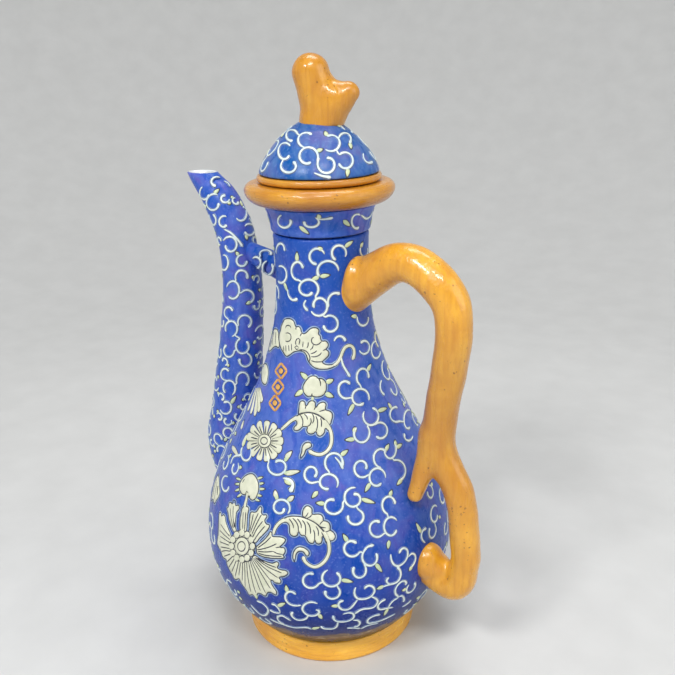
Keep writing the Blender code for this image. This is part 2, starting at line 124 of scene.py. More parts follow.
# Handle: gap to the body, height, radius
HANDLE_STATIONS = ((9.6, 163.3, 7.4), (26.8, 156.9, 7.4), (32.3, 140.3, 6.8), (13.7, 99.3, 6.4),
                   (12.4, 77.8, 5.9), (8.9, 56.3, 5.9), (7.8, 47.7, 5.9), (4.2, 39.1, 6.7))
HANDLE_START = (11.1, 0, 147.7, 9.0)
HANDLE_END = ((54.15, 0, 39.4, 6.7), (42.9, 0, 46.6, 9.0))
HANDLE_VOXEL = 0.75
HANDLE_FILLET = 4.0
HANDLE_DENTS = (9, 0.3)    # size and depth
FOOT_PLACES = 8            # last places of the handle
FOOT_RADIUS = 6.9          # which grow no thicker than this
SPUR = ((51.0, -0.6, 100.5, 5.0), (49.8, -2.7, 90.5, 4.2), (48.4, -5.0, 81.5, 3.7), (47.3, -6.4, 76.4, 3.3))
SPUR_ROOT = 5.6
FORK_Z = 114.0
ROOT_LUMPS = (((18.8, -2.2, 154.2), (4.4, 7.6, 10.2)), ((51.2, -2.6, 46.2), (6.2, 7.0, 7.8)),
              ((54.2, -1.2, 44.0), (5.6, 6.2, 5.4)))

# Knob on the lid, before its turn
KNOB = ((1.0, 0, 210.35, 7.93), (0.5, 0, 217.25, 6.9), (-2.0, 0, 228.0, 6.9))
TWIG = ((0, 0, 214.4, 6.4), (7.0, 0, 218.2, 6.0), (11.6, 0, 221.0, 4.1))
TWIG_CLEAR = 5.5           # the twig is filleted from here out
KNOB_TURN = math.radians(25)
KNOB_VOXEL = 0.45
KNOB_FILLET = 6.5
KNOB_DENTS = (5, 0.25)     # size and depth
KNOB_SINK = 0.8            # how far it reaches into the dome

# Studio
LIGHT_AIM = (0, 0, 110)
COVE_FLAT = 450.0          # radius of the floor's level part
COVE_BEND = 650.0          # radius of its rise
COVE_TOP = 2600.0
COVE_SEGMENTS = 96
COVE_ROWS = 17


# Camera and rays

ACROSS = np.array((math.cos(CAMERA_BEARING), math.sin(CAMERA_BEARING), 0))
AWAY = np.array((-math.sin(CAMERA_BEARING), math.cos(CAMERA_BEARING), 0))


def camera_axes():
    """Right, up and forward directions of the camera, and its place."""
    level = math.sin(PAN) * ACROSS + math.cos(PAN) * AWAY
    right = math.cos(PAN) * ACROSS - math.sin(PAN) * AWAY
    ahead = math.cos(PITCH) * level - math.sin(PITCH) * UP
    above = math.sin(PITCH) * level + math.cos(PITCH) * UP
    place = CAMERA_UP * UP - CAMERA_BACK * AWAY
    return (right * math.cos(ROLL) - above * math.sin(ROLL),
            right * math.sin(ROLL) + above * math.cos(ROLL), ahead, place)


EYE_RIGHT, EYE_UP, EYE_AHEAD, EYE = camera_axes()


def add_camera():
    data = bpy.data.cameras.new("camera")
    data.sensor_width = SENSOR
    data.lens = FOCAL / PHOTO_SIDE * SENSOR
    data.clip_start = 0.01
    data.clip_end = 20
    camera = bpy.data.objects.new("camera", data)
    turn = Matrix((EYE_RIGHT, EYE_UP, -EYE_AHEAD)).transposed()
    camera.matrix_world = Matrix.Translation(Vector(EYE * MM)) @ turn.to_4x4()
    bpy.context.collection.objects.link(camera)
    bpy.context.scene.camera = camera


# Lines and outlines

def bend(start, leave, end, arrive, t):
    """A place on the curve from start to end that sets off and comes in along two given ways."""
    return (start * (2 * t ** 3 - 3 * t ** 2 + 1) + leave * (t ** 3 - 2 * t ** 2 + t)
            + end * (3 * t ** 2 - 2 * t ** 3) + arrive * (t ** 3 - t ** 2))


def smooth_run(points, step, even=True):
    """Places along a smooth line through points, about step apart; even keeps short stretches calm."""
    knots = np.asarray(points, float)
    padded = np.vstack([2 * knots[0] - knots[1], knots, 2 * knots[-1] - knots[-2]])
    out = [knots[0]]
    for before, start, end, after in zip(padded, padded[1:], padded[2:], padded[3:]):
        length = np.linalg.norm((end - start)[:3])
        leave = (end - before) / 2
        arrive = (after - start) / 2
        if even:
            leave = leave / max(np.linalg.norm(leave), TINY) * length
            arrive = arrive / max(np.linalg.norm(arrive), TINY) * length
        count = max(1, round(length / step))
        out += [bend(start, leave, end, arrive, t) for t in np.linspace(0, 1, count + 1)[1:]]
    return np.array(out)


def half_outline(node):
    """A turned node's outline as (radius, height), in order, and whether it is closed."""
    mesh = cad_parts[node].data
    places = []
    for vertex in mesh.vertices:
        flat = abs(vertex.co.y) < TOUCH and vertex.co.x > -TOUCH
        places.append((round(vertex.co.x / MM, 3), round(vertex.co.z / MM, 3)) if flat else None)
    links = {}
    for edge in mesh.edges:
        one, two = (places[index] for index in edge.vertices)
        if one and two and one != two:
            links.setdefault(one, set()).add(two)
            links.setdefault(two, set()).add(one)
    ends = [place for place, others in links.items() if len(others) == 1]
    here = min(ends or links)
    walk = [here]
    while True:
        after = [place for place in sorted(links[here]) if place not in walk]
        if not after:
            break
        here = after[0]
        walk.append(here)
    if ends:
        first = [(0.0, walk[0][1])] * (walk[0][0] > 0)
        last = [(0.0, walk[-1][1])] * (walk[-1][0] > 0)
        walk = first + walk + last
    return walk, not ends


def runs_of(points, closed, corner=CORNER):
    """The outline cut into smooth runs wherever it turns by more than corner degrees."""
    knots = np.asarray(points, float)
    count = len(knots)
    sharp = []
    for index in range(count):
        if not closed and index in (0, count - 1):
            sharp.append(index)
            continue
        back = knots[index] - knots[index - 1]
        ahead = knots[(index + 1) % count] - knots[index]
        turn = math.atan2(back[0] * ahead[1] - back[1] * ahead[0], back @ ahead)
        if abs(math.degrees(turn)) > corner:
            sharp.append(index)
    order = [(sharp[0] + step) % count for step in range(count + int(closed))]
    runs = [[order[0]]]
    for index in order[1:]:
        runs[-1].append(index)
        if index in sharp and index != order[-1]:
            runs.append([index])
    return [knots[run] for run in runs]


def fine_outline(node, corner=CORNER):
    """A node's outline with smooth curves between its corners."""
    points, closed = half_outline(node)
    line = [smooth_run(run, OUTLINE_STEP) for run in runs_of(points, closed, corner)]
    joined = np.vstack([line[0]] + [run[1:] for run in line[1:]])
    return (joined[:-1] if closed else joined), closed


def soften(outline, closed):
    """The outline with its corners worn round."""
    line = outline.copy()
    for _ in range(WEAR_ROUNDS):
        before, after = np.roll(line, 1, 0), np.roll(line, -1, 0)
        moved = line + WEAR * ((before + after) / 2 - line)
        if not closed:
            moved[[0, -1]] = line[[0, -1]]
        line = moved
    return line


def tall_runs(node):
    """Outer and inner upright runs of a turned node, both from the bottom up."""
    points, closed = half_outline(node)
    tall = sorted(runs_of(points, closed), key=lambda run: np.ptp(run[:, 1]))[-2:]
    tall.sort(key=lambda run: -run[:, 0].mean())
    return [run if run[0, 1] < run[-1, 1] else run[::-1] for run in tall]


# Skins that relief is laid on

class Turned:
    """Outer surface of a turned piece, from a fine outline that runs upwards."""

    def __init__(self, outline):
        self.line = outline
        along = np.gradient(outline, axis=0)
        self.along = along / np.linalg.norm(along, axis=1)[:, None]

    def settle(self, points):
        """Nearest places on the surface, and the directions square to it."""
        points = np.atleast_2d(points)
        reach = np.hypot(points[:, 0], points[:, 1])
        flat = np.c_[reach, points[:, 2]]
        near = ((flat[:, None] - self.line) ** 2).sum(2).argmin(1)
        along = self.along[near]
        slide = ((flat - self.line[near]) * along).sum(1)
        foot = self.line[near] + along * np.clip(slide, -SKIN_SLIDE, SKIN_SLIDE)[:, None]
        spoke = points[:, :2] / np.maximum(reach, TINY)[:, None]
        normal = np.c_[spoke * along[:, 1:], -along[:, 0]]
        return np.c_[spoke * foot[:, :1], foot[:, 1]], normal


class Tube:
    """Outer surface of a swept piece, from fine places of (x, y, z, radius)."""

    def __init__(self, path):
        self.line = path
        along = np.gradient(path[:, :3], axis=0)
        self.along = along / np.linalg.norm(along, axis=1)[:, None]

    def settle(self, points):
        """Nearest places on the surface, and the directions square to it."""
        points = np.atleast_2d(points)
        near = ((points[:, None] - self.line[:, :3]) ** 2).sum(2).argmin(1)
        slide = ((points - self.line[near, :3]) * self.along[near]).sum(1)
        centre = self.line[near, :3] + self.along[near] * slide[:, None]
        spoke = points - centre
        normal = spoke / np.maximum(np.linalg.norm(spoke, axis=1), TINY)[:, None]
        return centre + normal * self.line[near, 3:], normal


def spots(skin, pixels):
    """Where the photograph's pixels fall on a skin, and which of them do."""
    pixels = np.atleast_2d(np.asarray(pixels, float))
    offset = pixels - PHOTO_SIDE / 2
    rays = EYE_AHEAD * FOCAL + offset[:, :1] * EYE_RIGHT - offset[:, 1:] * EYE_UP
    rays /= np.linalg.norm(rays, axis=1)[:, None]
    reach = np.full(len(pixels), RAY_START)
    for _ in range(RAY_STEPS):
        places = EYE + rays * reach[:, None]
        surface, normal = skin.settle(places)
        gap = ((places - surface) * normal).sum(1)
        reach += RAY_SHARE * gap
    return surface, np.abs(gap) < RAY_MISS


# Meshes

class Relief:
    """Raised work on a skin, gathered into one mesh.

    Looks are material numbers, one for each face. Traces are places that later work keeps clear of.
    """

    def __init__(self):
        self.points = []
        self.faces = []
        self.looks = []
        self.count = 0
        self.traces = []

    def add(self, points, faces, looks):
        self.points.append(np.asarray(points))
        self.faces += [tuple(index + self.count for index in face) for face in faces]
        self.looks += looks
        self.count += len(points)

    def mirrored(self):
        """The same work on the far side."""
        far = Relief()
        points = np.vstack(self.points) * MIRROR
        far.add(points, [face[::-1] for face in self.faces], list(self.looks))
        far.traces += [trace * MIRROR for trace in self.traces]
        return far


def grid_faces(rows, columns, closed=False):
    faces = []
    across = columns if closed else columns - 1
    for row in range(rows - 1):
        for column in range(across):
            after = (column + 1) % columns
            faces.append((row * columns + column, row * columns + after,
                          (row + 1) * columns + after, (row + 1) * columns + column))
    return faces


def make_mesh(name, points, faces):
    mesh = bpy.data.meshes.new(name)
    mesh.from_pydata((np.asarray(points, float) * MM).tolist(), [], faces)
    return mesh


def clean(mesh):
    """Merge doubled places and turn all faces outwards."""
    work = bmesh.new()
    work.from_mesh(mesh)
    bmesh.ops.remove_doubles(work, verts=work.verts, dist=MERGE)
    bmesh.ops.dissolve_degenerate(work, edges=work.edges, dist=MERGE / 10)
    bmesh.ops.recalc_face_normals(work, faces=work.faces)
    work.to_mesh(mesh)
    work.free()


def add_piece(mesh, materials, body, nodes=(), looks=None):
    """A piece that rides on a body, stands for nodes and takes the given materials."""
    if materials:
        mesh.materials.clear()
    for material in materials:
        mesh.materials.append(material)
    if looks:
        mesh.polygons.foreach_set("material_index", looks)
    mesh.polygons.foreach_set("use_smooth", [True] * len(mesh.polygons))
    mesh.update()
    piece = bpy.data.objects.new(mesh.name, mesh)
    bpy.context.collection.objects.link(piece)
    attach(piece, body)
    if nodes:
        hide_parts(*nodes)


def baked(obj):
    """The object's mesh with its modifiers applied; the object itself goes."""
    graph = bpy.context.evaluated_depsgraph_get()
    mesh = bpy.data.meshes.new_from_object(obj.evaluated_get(graph))
    mesh.name = obj.name + "_shape"
    rough = obj.data
    bpy.data.objects.remove(obj)
    bpy.data.meshes.remove(rough)
    return mesh


def turned_mesh(name, outline, closed, segments=TURNED_SEGMENTS):
    """An outline of (radius, height) turned about the Z axis."""
    points = []
    for index in range(segments):
        turn = 2 * math.pi * index / segments
        spoke = outline[:, :1] * (math.cos(turn), math.sin(turn))
        points.append(np.c_[spoke, outline[:, 1]])
    count = len(outline)
    faces = []
    across = count if closed else count - 1
    for index in range(segments):
        after = (index + 1) % segments
        for row in range(across):
            above = (row + 1) % count
            faces.append((index * count + row, after * count + row,
                          after * count + above, index * count + above))
    mesh = make_mesh(name, np.vstack(points), faces)
    clean(mesh)
    return mesh


def rings(path, sides, flatness=1, mouth=0):
    """Rings of places round a path of (x, y, z, radius); the last mouth rings lean level."""
    along = np.gradient(path[:, :3], axis=0)
    along /= np.linalg.norm(along, axis=1)[:, None]
    out = []
    for index, (place, heading) in enumerate(zip(path, along)):
        up = np.cross(heading, (0, 1, 0))
        up /= np.linalg.norm(up)
        aside = np.cross(up, heading)
        turn = np.linspace(0, 2 * math.pi, sides, endpoint=False)[:, None]
        spoke = (up * np.cos(turn) + aside * np.sin(turn) * flatness) * place[3]
        if mouth:
            lean = np.clip((index - len(path) + 1 + mouth) / mouth, 0, 1)
            lean = lean * lean * (3 - 2 * lean)
            spoke = spoke - heading * (lean * spoke[:, 2:] / heading[2])
        out.append(place[:3] + spoke)
    return np.vstack(out)


def tube_mesh(name, path, sides=LIMB_SIDES, flatness=1):
    """A closed tube round a path of (x, y, z, radius)."""
    points = rings(path, sides, flatness)
    faces = grid_faces(len(path), sides, closed=True)
    last = (len(path) - 1) * sides
    faces.append(tuple(range(sides)))
    faces.append(tuple(reversed(range(last, last + sides))))
    mesh = make_mesh(name, points, faces)
    clean(mesh)
    return mesh


def rounded_tip(path):
    """A path of (x, y, z, radius) that goes on to a round end."""
    last = path[-1]
    heading = last[:3] - path[-2][:3]
    heading = heading / np.linalg.norm(heading)
    tip = []
    for step in range(1, TIP_STEPS + 1):
        turn = step / TIP_STEPS * TIP_TURN
        tip.append((*(last[:3] + heading * last[3] * math.sin(turn)), last[3] * math.cos(turn)))
    return np.vstack([path, tip])


def joined_mesh(name, meshes):
    work = bmesh.new()
    for mesh in meshes:
        work.from_mesh(mesh)
    out = bpy.data.meshes.new(name)
    work.to_mesh(out)
    work.free()
    return out


def cut_away(mesh, cutter_mesh, name):
    """A mesh less the space of another."""
    obj = bpy.data.objects.new(mesh.name, mesh)
    cutter = bpy.data.objects.new("cutter", cutter_mesh)
    for each in (obj, cutter):
        bpy.context.collection.objects.link(each)
    change = obj.modifiers.new("cut", 'BOOLEAN')
    change.operation = 'DIFFERENCE'
    change.solver = 'MANIFOLD'
    change.object = cutter
    out = baked(obj)
    bpy.data.objects.remove(cutter)
    out.name = name
    return out


def modelled(name, meshes, voxel):
    """Clay lumps worked together into one skin, with soft fillets where they meet."""
    obj = bpy.data.objects.new(name, joined_mesh(name, meshes))
    bpy.context.collection.objects.link(obj)
    remesh = obj.modifiers.new("work", 'REMESH')
    remesh.mode = 'VOXEL'
    remesh.voxel_size = voxel * MM
    smooth = obj.modifiers.new("smooth", 'SMOOTH')
    smooth.factor = SMOOTH_SHARE
    smooth.iterations = SMOOTHING
    return baked(obj)


# Relief drawn on a skin

WHITE, EDGE, LINE, LEAF, CREAM, GILT, RED, DEEP = range(8)

# Sections as (across, up), in half widths and heights
SLIP_SECTION = np.array(((-2.15, -0.3), (-1.6, 0.28), (-1.08, 0.55), (-0.5, 1.0),
                         (0.5, 1.0), (1.08, 0.55), (1.6, 0.28), (2.15, -0.3)))
PEN_SECTION = np.array(((-1.0, -5.0), (-0.9, 0.5), (0.0, 1.0), (0.9, 0.5), (1.0, -5.0)))
DOME_PROFILE = ((0.06, 1.0), (0.3, 0.99), (0.55, 0.95), (0.75, 0.86), (0.9, 0.68), (1.0, 0.4), (1.0, -0.4))
EVEN = (1, 1)              # a line of the same width at both ends

# Slip lines and drawn lines
SLIP_WIDTH = 0.37          # half the width
SLIP_HEIGHT = 0.32
SLIP_SWELL = (0.7, 1.45)   # share of the width at its start and end
SLIP_STEP = 0.75
SWELL_START = 2.2          # lengths over which it swells
SWELL_END = 1.5
LINE_END = 0.04            # least reach of a round end
PEN_WIDTH = 0.23
PEN_HEIGHT = 0.06
PEN_SINK = 0.02            # a drawn line starts this far inside the enamel

# Petals and patches
PIXELS_PER_MM = 2.45       # in the photograph, at the belly
PETAL_GAP = 0.16
PETAL_HEIGHT = 0.38
PETAL_STEP = 0.9
PETAL_COLUMNS = 7
PETAL_ROWS = 8             # or more on a long petal
PETAL_SINK = 0.05
PETAL_LEAST = 0.04         # half its width at the tip
PETAL_ROUND = 0.6          # power of its rise across
PETAL_END = 1.6            # how soon it is full height from its ends
PETAL_LINE = (0.06, 0.62)  # where the line drawn on it starts and ends
PETAL_LINE_SINK = 0.03
FINGER_ROOT = 0.34         # share of its width at the root
FINGER_TIP = 0.82          # share of its length where the round tip starts
EDGE_WIDTH = 0.29          # dark edge
EDGE_HEIGHT = 0.13
PATCH_HEIGHT = 0.42
PATCH_STEP = 2.0           # pixels

# Hearts of flowers
HEART_GROW = 1.2           # of the bed under it
HEART_BED = 0.25
HEART_HEIGHT = 0.30
HEART_LIFT = 0.26
HEART_EDGE = 0.3
HEART_SHARE = 0.66         # of the core, inside a ring of beads
HEART_RING = 0.55          # share of the heart that the drawn ring has
HEART_PEN_SINK = 0.01
BEAD = (2.7, 3.3)          # half width and half height in pixels

# Enamel inside an outline
FIELD_HEIGHT = 0.40
FIELD_EDGE = 2.0           # pixels over which it rises
FIELD_STEP = 1.6           # pixels between its points
FIELD_DEPTH = 0.3          # how far it reaches into the skin
RING_STEP = 1.2            # pixels
RIM_WIDTH = 0.21           # half the width of its dark rim
RIM_LIFT = 0.04            # above the halo
HALO_WIDTH = 0.40          # half the width of the pale line round the rim
HALO_HEIGHT = 0.10

# C-scrolls and how they grow out of each other
ARC_POINTS = 19
ARC_END = 0.82             # share of the radius left at the end
LINK_POINTS = 6
LINK_TURN = 1.5            # how much nearness counts beside direction
LINK_AHEAD = 0.15          # largest cosine between a line's own way and the way to its mate


def lie(skin, path):
    """Places, outward and sideways directions along a line laid on a skin."""
    places, out = skin.settle(path)
    along = np.gradient(places, axis=0)
    side = np.cross(out, along)
    side /= np.maximum(np.linalg.norm(side, axis=1), TINY)[:, None]
    return places, out, side


def capped(rows, columns):
    """Faces of a tube of rows, closed at both ends."""
    faces = grid_faces(rows, columns, closed=True)
    last = (rows - 1) * columns
    return faces + [tuple(reversed(range(columns))), tuple(range(last, last + columns))]


def ribbon(relief, skin, path, width=SLIP_WIDTH, swell=SLIP_SWELL, height=SLIP_HEIGHT, lift=0.0,
           look=WHITE, edge=DEEP, outer=EDGE, section=SLIP_SECTION):
    """A raised line with round ends that may swell."""
    path = smooth_run(path, SLIP_STEP)
    places, out, side = lie(skin, path)
    walked = np.r_[0, np.cumsum(np.linalg.norm(np.diff(places, axis=0), axis=1))]
    left = walked[-1] - walked
    at_start = (swell[0] - 1) * np.exp(-(walked / SWELL_START) ** 2)
    at_end = (swell[1] - 1) * np.exp(-(left / SWELL_END) ** 2)
    broad = 1 + at_start + at_end
    near = np.clip((np.minimum(walked, left) + LINE_END) / (width * broad), 0, 1)
    ends = np.sqrt(1 - (1 - near) ** 2)
    across = section[:, 0] * (width * broad * ends)[:, None]
    up = lift + section[:, 1] * (height * np.sqrt(ends))[:, None]
    points = places[:, None] + side[:, None] * across[..., None] + out[:, None] * up[..., None]
    columns = len(section)
    row_looks = [outer, edge] + [look] * (columns - 5) + [edge, outer, outer]
    looks = row_looks * (len(path) - 1) + [outer, outer]
    relief.add(points.reshape(-1, 3), capped(len(path), columns), looks)
    relief.traces.append(places)


def finger(t):
    """Width of a petal that widens to a round tip."""
    widening = FINGER_ROOT + (1 - FINGER_ROOT) * t / FINGER_TIP
    tip = np.sqrt(np.maximum(1 - ((t - FINGER_TIP) / (1 - FINGER_TIP)) ** 2, 0))
    return np.where(t < FINGER_TIP, widening, tip)


def drop(t):
    """Width of a leaf that is widest near its root."""
    return np.sin(math.pi * np.clip(t, 0, 1) ** 0.75) ** 0.8


def petal(relief, skin, spine, width, shape, look):
    """A domed petal along a spine, over a wider dark edge."""
    fine = smooth_run(spine, TUBE_SKIN_STEP)
    length = np.linalg.norm(np.diff(fine, axis=0), axis=1).sum()
    count = max(PETAL_ROWS, round(length / PETAL_STEP))
    share = np.sin(np.linspace(0, 1, count) * math.pi / 2)
    stations = np.linspace(0, 1, len(fine))
    path = np.c_[[np.interp(share, stations, fine[:, axis]) for axis in range(3)]].T
    places, out, side = lie(skin, path)
    relief.traces.append(places)
    for high, colour, grow in ((PETAL_HEIGHT, look, 0.0), (EDGE_HEIGHT, LINE, EDGE_WIDTH)):
        half = np.maximum(shape(share) * width, PETAL_LEAST) + grow
        grown = places + (places - places[0]) / max(length, TINY) * grow
        turn = np.linspace(0, math.pi, PETAL_COLUMNS)
        across = -np.cos(turn) * half[:, None]
        full = high * np.minimum(1, half / (width + grow) * PETAL_END)
        rise = np.sin(turn) ** PETAL_ROUND * full[:, None] - PETAL_SINK
        raw = grown[:, None] + side[:, None] * across[..., None]
        surface, square = skin.settle(raw.reshape(-1, 3))
        faces = capped(count, PETAL_COLUMNS)
        relief.add(surface + square * rise.reshape(-1, 1), faces, [colour] * len(faces))


def patch(relief, skin, rim, height=PATCH_HEIGHT, look=CREAM, edge=EDGE_WIDTH, lift=0.0):
    """A domed patch inside a rim of places on a skin, over a wider dark edge; lift sets it higher."""
    centre = rim.mean(0)
    count = len(rim)
    reach = np.linalg.norm(rim - centre, axis=1)[:, None]
    for grow, high, colour in ((0.0, height, look), (edge, EDGE_HEIGHT, LINE)):
        spokes = (rim - centre) * (1 + grow / reach)
        rows = []
        for share, level in DOME_PROFILE:
            surface, square = skin.settle(centre + spokes * share)
            rows.append(surface + square * (lift + high * level))
        faces = capped(len(rows), count)
        relief.add(np.vstack(rows), faces, [colour] * len(faces))
    relief.traces.append(rim)
    relief.traces.append(centre[None])


# The same, placed by pixels of the photograph

def pixel_arc(centre_x, centre_y, wide, tall, start, sweep, end=ARC_END):
    """Pixels along a C-scroll that curls in to a share of its radius at its end."""
    share = np.linspace(0, 1, ARC_POINTS)
    turn = np.radians(start + sweep * share)
    curl = 1 + (end - 1) * share ** 2
    return np.c_[centre_x + wide * curl * np.cos(turn), centre_y - tall * curl * np.sin(turn)]


def ellipse(centre, wide, tall, count):
    """Pixels round an ellipse of half width and half height."""
    turn = np.linspace(0, 2 * math.pi, count, endpoint=False)
    return np.c_[centre[0] + wide * np.cos(turn), centre[1] - tall * np.sin(turn)]


def unit(vector):
    return vector / max(np.linalg.norm(vector), TINY)


def link(line, mates, reach):
    """A line led back, from its outer end, into the nearest of its mates that lies ahead."""
    start, inward = line[0], unit(line[1] - line[0])
    best = None
    for mate in mates:
        gap = mate - start
        far = np.linalg.norm(gap, axis=1)
        cost = far * (LINK_TURN + gap @ inward / np.maximum(far, TINY))
        for index in np.flatnonzero((far < reach) & (gap @ inward < LINK_AHEAD * far)):
            if best is None or cost[index] < best[0]:
                best = (cost[index], mate, index, far[index])
    if best is None:
        return line
    _, mate, index, far = best
    root = mate[index]
    heading = unit(mate[min(index + 1, len(mate) - 1)] - mate[max(index - 1, 0)])
    if heading @ (start - root) < 0:
        heading = -heading
    shares = np.linspace(0, 1, LINK_POINTS + 1)[:-1]
    lead = [bend(root, heading * far, start, inward * far, t) for t in shares]
    return np.vstack([lead, line])


def vines(arcs, reach):
    """C-scrolls as lines, each grown out of a neighbour."""
    lines = [pixel_arc(*arc) for arc in arcs]
    return [link(line, lines[:index] + lines[index + 1:], reach) for index, line in enumerate(lines)]


def slip_line(relief, skin, pixels, **how):
    """A raised line through pixels, as far as they fall on the skin."""
    places, hit = spots(skin, pixels)
    if hit.sum() > 2:
        ribbon(relief, skin, places[hit], **how)


def pen(relief, skin, pixels, lift):
    """A thin dark line drawn over a petal or patch."""
    if len(pixels) == 2:
        pixels = (pixels[0], np.mean(pixels, 0), pixels[1])
    slip_line(relief, skin, pixels, width=PEN_WIDTH, swell=EVEN, height=PEN_HEIGHT, lift=lift,
              look=LINE, edge=LINE, outer=LINE, section=PEN_SECTION)


def rooted(ends, lines, reach):
    """Leaf ends with each root moved onto the nearest line, where one is near."""
    every = np.vstack(lines)
    out = []
    for x0, y0, x1, y1 in ends:
        far = np.hypot(every[:, 0] - x0, every[:, 1] - y0)
        near = far.argmin()
        out.append((*every[near], x1, y1) if far[near] < reach else (x0, y0, x1, y1))
    return out


def leaves(relief, skin, ends, width, shape=drop, look=LEAF):
    """Leaves or petals, each from a root pixel to a tip pixel."""
    for x0, y0, x1, y1 in ends:
        middle = ((x0 + x1) / 2, (y0 + y1) / 2)
        places, hit = spots(skin, ((x0, y0), middle, (x1, y1)))
        if hit.all():
            petal(relief, skin, places, width, shape, look)


def pixel_patch(relief, skin, outline, **how):
    """A patch inside a rough outline of pixels."""
    loop = np.vstack([outline, outline[:1]])
    places, hit = spots(skin, smooth_run(loop, PATCH_STEP)[:-1])
    if hit.sum() > 5:
        patch(relief, skin, places[hit], **how)


def flower_heart(relief, skin, centre, core, beads=0):
    """A ringed heart of half width and half height, with a ring of beads round it or none."""
    centre = np.array(centre, float)
    core = np.array(core, float)
    raised = {"height": HEART_HEIGHT, "lift": HEART_LIFT, "edge": HEART_EDGE}
    pixel_patch(relief, skin, ellipse(centre, *(core * HEART_GROW), 24), height=HEART_BED)
    for place in ellipse(centre, *core, beads):
        pixel_patch(relief, skin, ellipse(place, *BEAD, 10), **raised)
    heart = core * HEART_SHARE if beads else core
    pixel_patch(relief, skin, ellipse(centre, *heart, 20), **raised)
    ring = ellipse(centre, *(heart * HEART_RING), 20)
    pen(relief, skin, np.vstack([ring, ring[:1]]), HEART_HEIGHT + HEART_LIFT - HEART_PEN_SINK)


def petals(relief, skin, centre, core, tips, most):
    """Petals from a core to their tips, as wide as there is room, each with a line drawn on it."""
    centre = np.array(centre, float)
    tips = np.asarray(tips, float)
    for before, tip, after in zip(np.roll(tips, 1, 0), tips, np.roll(tips, -1, 0)):
        spoke = tip - centre
        root = centre + spoke / np.linalg.norm(spoke / np.array(core))
        apart = (np.linalg.norm(tip - before) + np.linalg.norm(tip - after)) / 2
        room = apart / 2 / PIXELS_PER_MM - PETAL_GAP
        leaves(relief, skin, [(*root, *tip)], min(room, most), finger, CREAM)
        line = (root + spoke * PETAL_LINE[0], root + (tip - root) * PETAL_LINE[1])
        pen(relief, skin, line, PETAL_HEIGHT - PETAL_LINE_SINK)


def within(loop, points):
    """Which points lie inside a closed loop."""
    x, y = points[:, :1], points[:, 1:]
    x0, y0 = loop.T
    x1, y1 = np.roll(loop, -1, 0).T
    lean = (x1 - x0) / np.where(y1 == y0, TINY, y1 - y0)
    crossed = ((y0 > y) != (y1 > y)) & (x < x0 + (y - y0) * lean)
    return crossed.sum(1) % 2 == 1


def distance_to(loop, points):
    """How far points lie from the nearest point of a loop."""
    return np.sqrt(((points[:, None] - loop) ** 2).sum(2).min(1))


def filled(loop):
    """Pixels and triangles that fill a closed loop of pixels."""
    low, high = loop.min(0), loop.max(0)
    columns, lines = (np.arange(*ends, FIELD_STEP) for ends in zip(low, high))
    across, down = np.meshgrid(columns, lines)
    inner = np.c_[across.ravel(), down.ravel()]
    inner = inner[within(loop, inner)]
    inner = inner[distance_to(loop, inner) > FIELD_STEP / 2]
    count = len(loop)
    edges = [(index, (index + 1) % count) for index in range(count)]
    corners = [Vector(pixel) for pixel in np.vstack([loop, inner])]
    made = geometry.delaunay_2d_cdt(corners, edges, [list(range(count))], 1, 0.0001)
    return np.array(made[0]), [tuple(face) for face in made[2]]


def shell(faces, count):
    """Faces of a closed shell whose top is given and whose bottom has the same points again."""
    walked = {pair for face in faces for pair in zip(face, face[1:] + face[:1])}
    border = [(one, two) for one, two in sorted(walked) if (two, one) not in walked]
    sides = [(two, one, one + count, two + count) for one, two in border]
    bottom = [tuple(index + count for index in face[::-1]) for face in faces]
    return faces + bottom + sides


def enamel(relief, skin, outline, strokes=(), look=CREAM, height=FIELD_HEIGHT):
    """Enamel inside any outline of pixels, with a pale halo, a dark rim and dark strokes drawn on it."""
    ring = smooth_run(np.vstack([outline, outline[:1]]), RING_STEP)
    slip_line(relief, skin, ring, width=HALO_WIDTH, swell=EVEN, height=HALO_HEIGHT,
              look=EDGE, edge=EDGE, outer=DEEP)
    slip_line(relief, skin, ring, width=RIM_WIDTH, swell=EVEN, height=PEN_HEIGHT,
              lift=HALO_HEIGHT + RIM_LIFT, look=LINE, edge=LINE, outer=LINE, section=PEN_SECTION)
    pixels, faces = filled(ring[:-1])
    share = np.clip(distance_to(ring, pixels) / FIELD_EDGE, 0, 1)
    places, hit = spots(skin, pixels)
    surface, square = skin.settle(places)
    faces = [face for face in faces if hit[list(face)].all()]
    if faces:
        one, two, three = surface[list(faces[0])[:3]]
        if np.cross(two - one, three - one) @ square[faces[0][0]] < 0:
            faces = [face[::-1] for face in faces]
        top = surface + square * (height * np.sqrt(1 - (1 - share) ** 2))[:, None]
        whole = shell(faces, len(pixels))
        relief.add(np.vstack([top, surface - square * FIELD_DEPTH]), whole, [look] * len(whole))
        relief.traces.append(surface[hit])
    for stroke in strokes:
        pen(relief, skin, stroke, height - PEN_SINK)


# Materials

def feed(tree, socket, value):
    """Link a socket to another node's output, or set it to a value."""
    if isinstance(value, bpy.types.NodeSocket):
        tree.links.new(value, socket)
    else:
        socket.default_value = value


def add_node(tree, kind, inputs=(), **settings):
    node = tree.nodes.new("ShaderNode" + kind)
    for name, value in settings.items():
        setattr(node, name, value)
    for name, value in dict(inputs).items():
        feed(tree, node.inputs[name], value)
    return node


def object_place(tree):
    return add_node(tree, "TexCoord").outputs["Object"]


def pattern(tree, scale, detail=3.0, stretch=(1, 1, 1), warp=0.0):
    """Noise in the object's own space; scale is in bumps per metre."""
    placed = add_node(tree, "Mapping", {"Vector": object_place(tree), "Scale": stretch}).outputs["Vector"]
    how = {"Vector": placed, "Scale": scale, "Detail": detail, "Distortion": warp}
    return add_node(tree, "TexNoise", how).outputs["Fac"]


